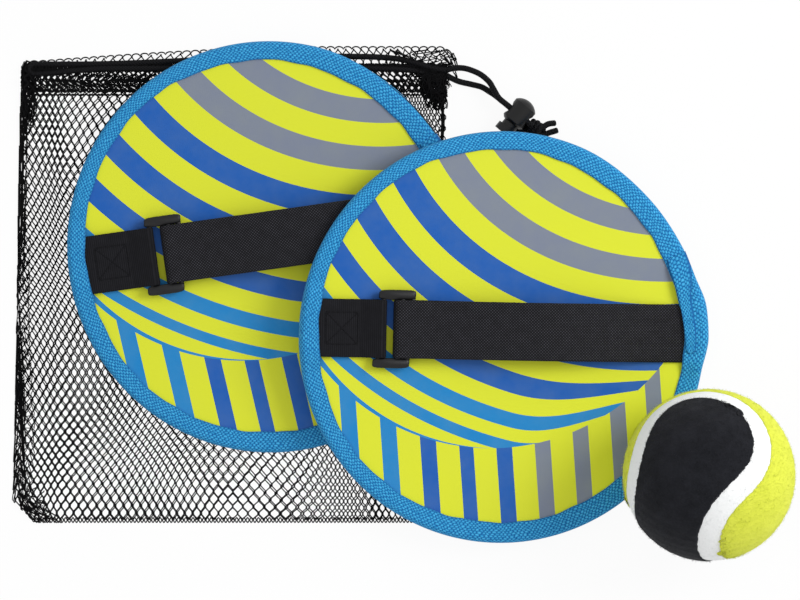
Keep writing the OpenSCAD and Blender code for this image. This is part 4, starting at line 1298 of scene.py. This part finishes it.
def makeSeams():
    # each side's turned-in edges: plies of net drawn together, wider below and dense in the left corner of
    # the mouth; each ply has its columns, its lower and upper end as shares of the height, and its widening
    left = [
        (2, 0, 1, -1), (4, 0, 0.62, 3.0), (3, 0.5, 1, 0.6), (5, 0.86, 1, 3.6), (5, 0.87, 1, 3.9),
        (5, 0.88, 1, 3.3), (6, 0.885, 1, 4.2), (6, 0.91, 1, 3.0), (5, 0.84, 1, 2.4), (4, 0, 0.09, 5.2),
        (4, 0, 0.07, 5.6), (5, 0.015, 0.06, 4.6),
    ]
    right = [(2, 0, 1, 0), (2, 0, 1, 0.3)]
    fullRows = 74
    for name, node, side, plies, top, seed in (
        ("left_folded_seam", "bag_left_seam", -1, left, hemTop + 1.0 * mm, 51),
        ("right_folded_seam", "bag_right_seam", 1, right, hemTop - bagSize["hem"] + 3 * mm, 71),
    ):
        parts = []
        for i, (columns, start, end, more) in enumerate(plies):
            u, v, over = netPaths(columns, max(4, round(fullRows * (end - start))), seed + i, 0.3)
            share = start + v * (end - start)
            y = bagBottom + share * (top - bagBottom)
            wide, corner = (1.2 + more) * mm, 0
            if side < 0:
                wide = (3.0 + more + 3.6 * ease((0.5 - share) / 0.3)) * mm
                # the upper corner is rounded off
                corner = 1.6 * mm * (1 - np.sqrt(1 - np.clip((share - 0.982) / 0.018, 0, 1) ** 2))
            inward = wide * (u * 0.92 + 0.02 * i) + corner * (1 - u)
            x = bagEdge(y, side) - side * inward + 0.22 * mm * np.sin(share * 83 + 2 * i)
            z = 0.4 * mm + (i % 4) * 0.42 * mm + 0.1 * mm * over
            parts.append(netTubes(x, y, z, 0.4 * mm if i < 3 else bagSize["thread"]))
        netPiece(name, node, parts)
    # the bottom: the fold is a row of small loops, with an overlocking thread along it
    loops, rise = 110, 0.3 * mm
    t = np.linspace(0, 1, 900)
    x = bagLeft + bagSize["corner"] + t * (bagRight - bagSize["lean"] - bagLeft - bagSize["corner"] - 1 * mm)
    phase = np.array([[0], [1]])
    wave = np.sin(2 * math.pi * (t * loops + phase * 0.5))
    y = bagBottom + 0.6 * mm + 0.5 * mm * wave + phase * 1.2 * mm
    z = 0.45 * mm + 0.35 * mm * np.cos(2 * math.pi * (t * loops + phase * 0.25)) + rise * phase
    netPiece("bottom_folded_seam", "bag_bottom_seam", [netTubes(x, y, z, 0.55 * mm)])
    print("seams made")


def makeGather():
    # the mouth's corner: net drawn together in tight folds round the place where the cord comes out
    gather = dict(
        left=5.5 * mm, right=20.0 * mm, low=83.0 * mm, high=103.0 * mm, thick=0.5 * mm, threads=170, cross=60,
        frayed=16,
    )
    some = np.random.default_rng(61)

    def draw(low, high):
        # a random value for each thread, in a column
        return some.uniform(low, high, (count, 1))
    count, steps = gather["threads"], 26
    t = np.linspace(0, 1, steps)[None]
    share = draw(0, 1) ** 0.7
    startX = gather["left"] + draw(0, 5) * mm + 7 * mm * (1 - share) ** 2
    startY = gather["low"] + share * (gather["high"] - gather["low"])
    endX = gather["right"] - draw(0, 1.2) * mm
    endY = startY + (98.5 * mm - startY) * 0.22 + some.normal(0, 0.9, (count, 1)) * mm
    wave = draw(0.2, 0.9) * mm * np.sin(draw(14, 30) * t + 6.28 * share)
    x = startX + (endX - startX) * t
    y = startY + (endY - startY) * ease(t) + wave
    z = 1.2 * mm + draw(0, 1) * 2.8 * mm * np.sin(math.pi * (0.15 + 0.75 * t)) + 0 * wave
    parts = [netTubes(x, y, z, gather["thick"])]
    # threads across the folds, so that the net closes up
    count = gather["cross"]
    share = draw(0, 1)
    width = gather["right"] - gather["left"] - 4.6 * mm
    x = gather["left"] + 4 * mm + share * width + 0.8 * mm * np.sin(9 * t + 20 * share)
    foot = gather["low"] + 0.6 * mm + draw(0, 9) * mm
    y = foot + (gather["high"] - foot - 0.8 * mm) * t + 0 * x
    z = 1.4 * mm + 2.6 * mm * np.sin(math.pi * (0.1 + 0.8 * t)) * draw(0.2, 1)
    parts.append(netTubes(x, y, z, gather["thick"]))
    netPiece("gathered_mouth_corner", "bag_gather", parts)
    # frayed thread ends beside it
    count = gather["frayed"]
    t = np.linspace(0, 1, 14)[None]
    curl = draw(0.5, 1.5) * mm
    phase = draw(0, 6.28)
    x = gather["right"] - 0.6 * mm + t * draw(0.5, 2.4) * mm + curl * 0.4 * np.sin(4 * t + phase)
    y = draw(93.5, 96.5) * mm + curl * np.cos(4 * t + phase) * 0.8
    z = 1.4 * mm + 0.8 * mm * np.sin(3 * t + phase)
    netPiece("frayed_ends", None, [netTubes(x, y, z, 0.26 * mm)])
    print("gather made")


def makeDrawcord():
    # the cord in its channels: along the front hem, back round the left corner and along the back hem
    run = dict(front=101.3 * mm, low=99.0 * mm, radius=2.1 * mm, rise=3.4 * mm)
    left = float(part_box("drawcord")[0][0]) + cordSize["thick"] / 2 + 0.8 * mm
    x = np.linspace(-12 * mm, left + 42 * mm, 9)
    front = np.stack([x, run["front"] + 0 * x, 2.6 * mm + 0 * x], -1)
    turn = np.radians(np.arange(0, 181, 22.5))
    bend = np.stack([
        left + run["radius"] * (1 - np.sin(turn)), run["low"] + run["radius"] * (1 - np.cos(turn)),
        (2.6 - 0.9 * turn / math.pi) * mm,
    ], -1)
    x = np.linspace(left + 12 * mm, -22 * mm, 10)
    backY = run["low"] + 2 * run["radius"] + run["rise"] * ease((x - left - 20 * mm) / (100 * mm))
    back = np.stack([x, backY, 1.7 * mm + 0 * x], -1)
    route = np.concatenate([
        [(0.0196, 0.0984, 0.0014), (0.0125, 0.0994, 0.0019), (0.002, 0.1008, 0.0024)], front,
        [(left + 32 * mm, 0.1012, 0.0026), (left + 21 * mm, 0.1005, 0.0026),
         (left + 10 * mm, 0.0994, 0.0026)],
        bend, back,
        [(-0.01, 0.1063, 0.0018), (0.0, 0.1053, 0.002), (0.0075, 0.1034, 0.0024), (0.0135, 0.1016, 0.0028),
         (0.0196, 0.1006, 0.0029)],
    ])
    path = smoothPath(route, 500)
    piece = makeMesh("drawcord_in_hem", *tubeParts([path], cordSize["thick"] / 2, 10), "cord")
    attach(piece, "bag", "drawcord")


makePanels()
makeHems()
makeSeams()
makeGather()
makeDrawcord()
print("bag made")
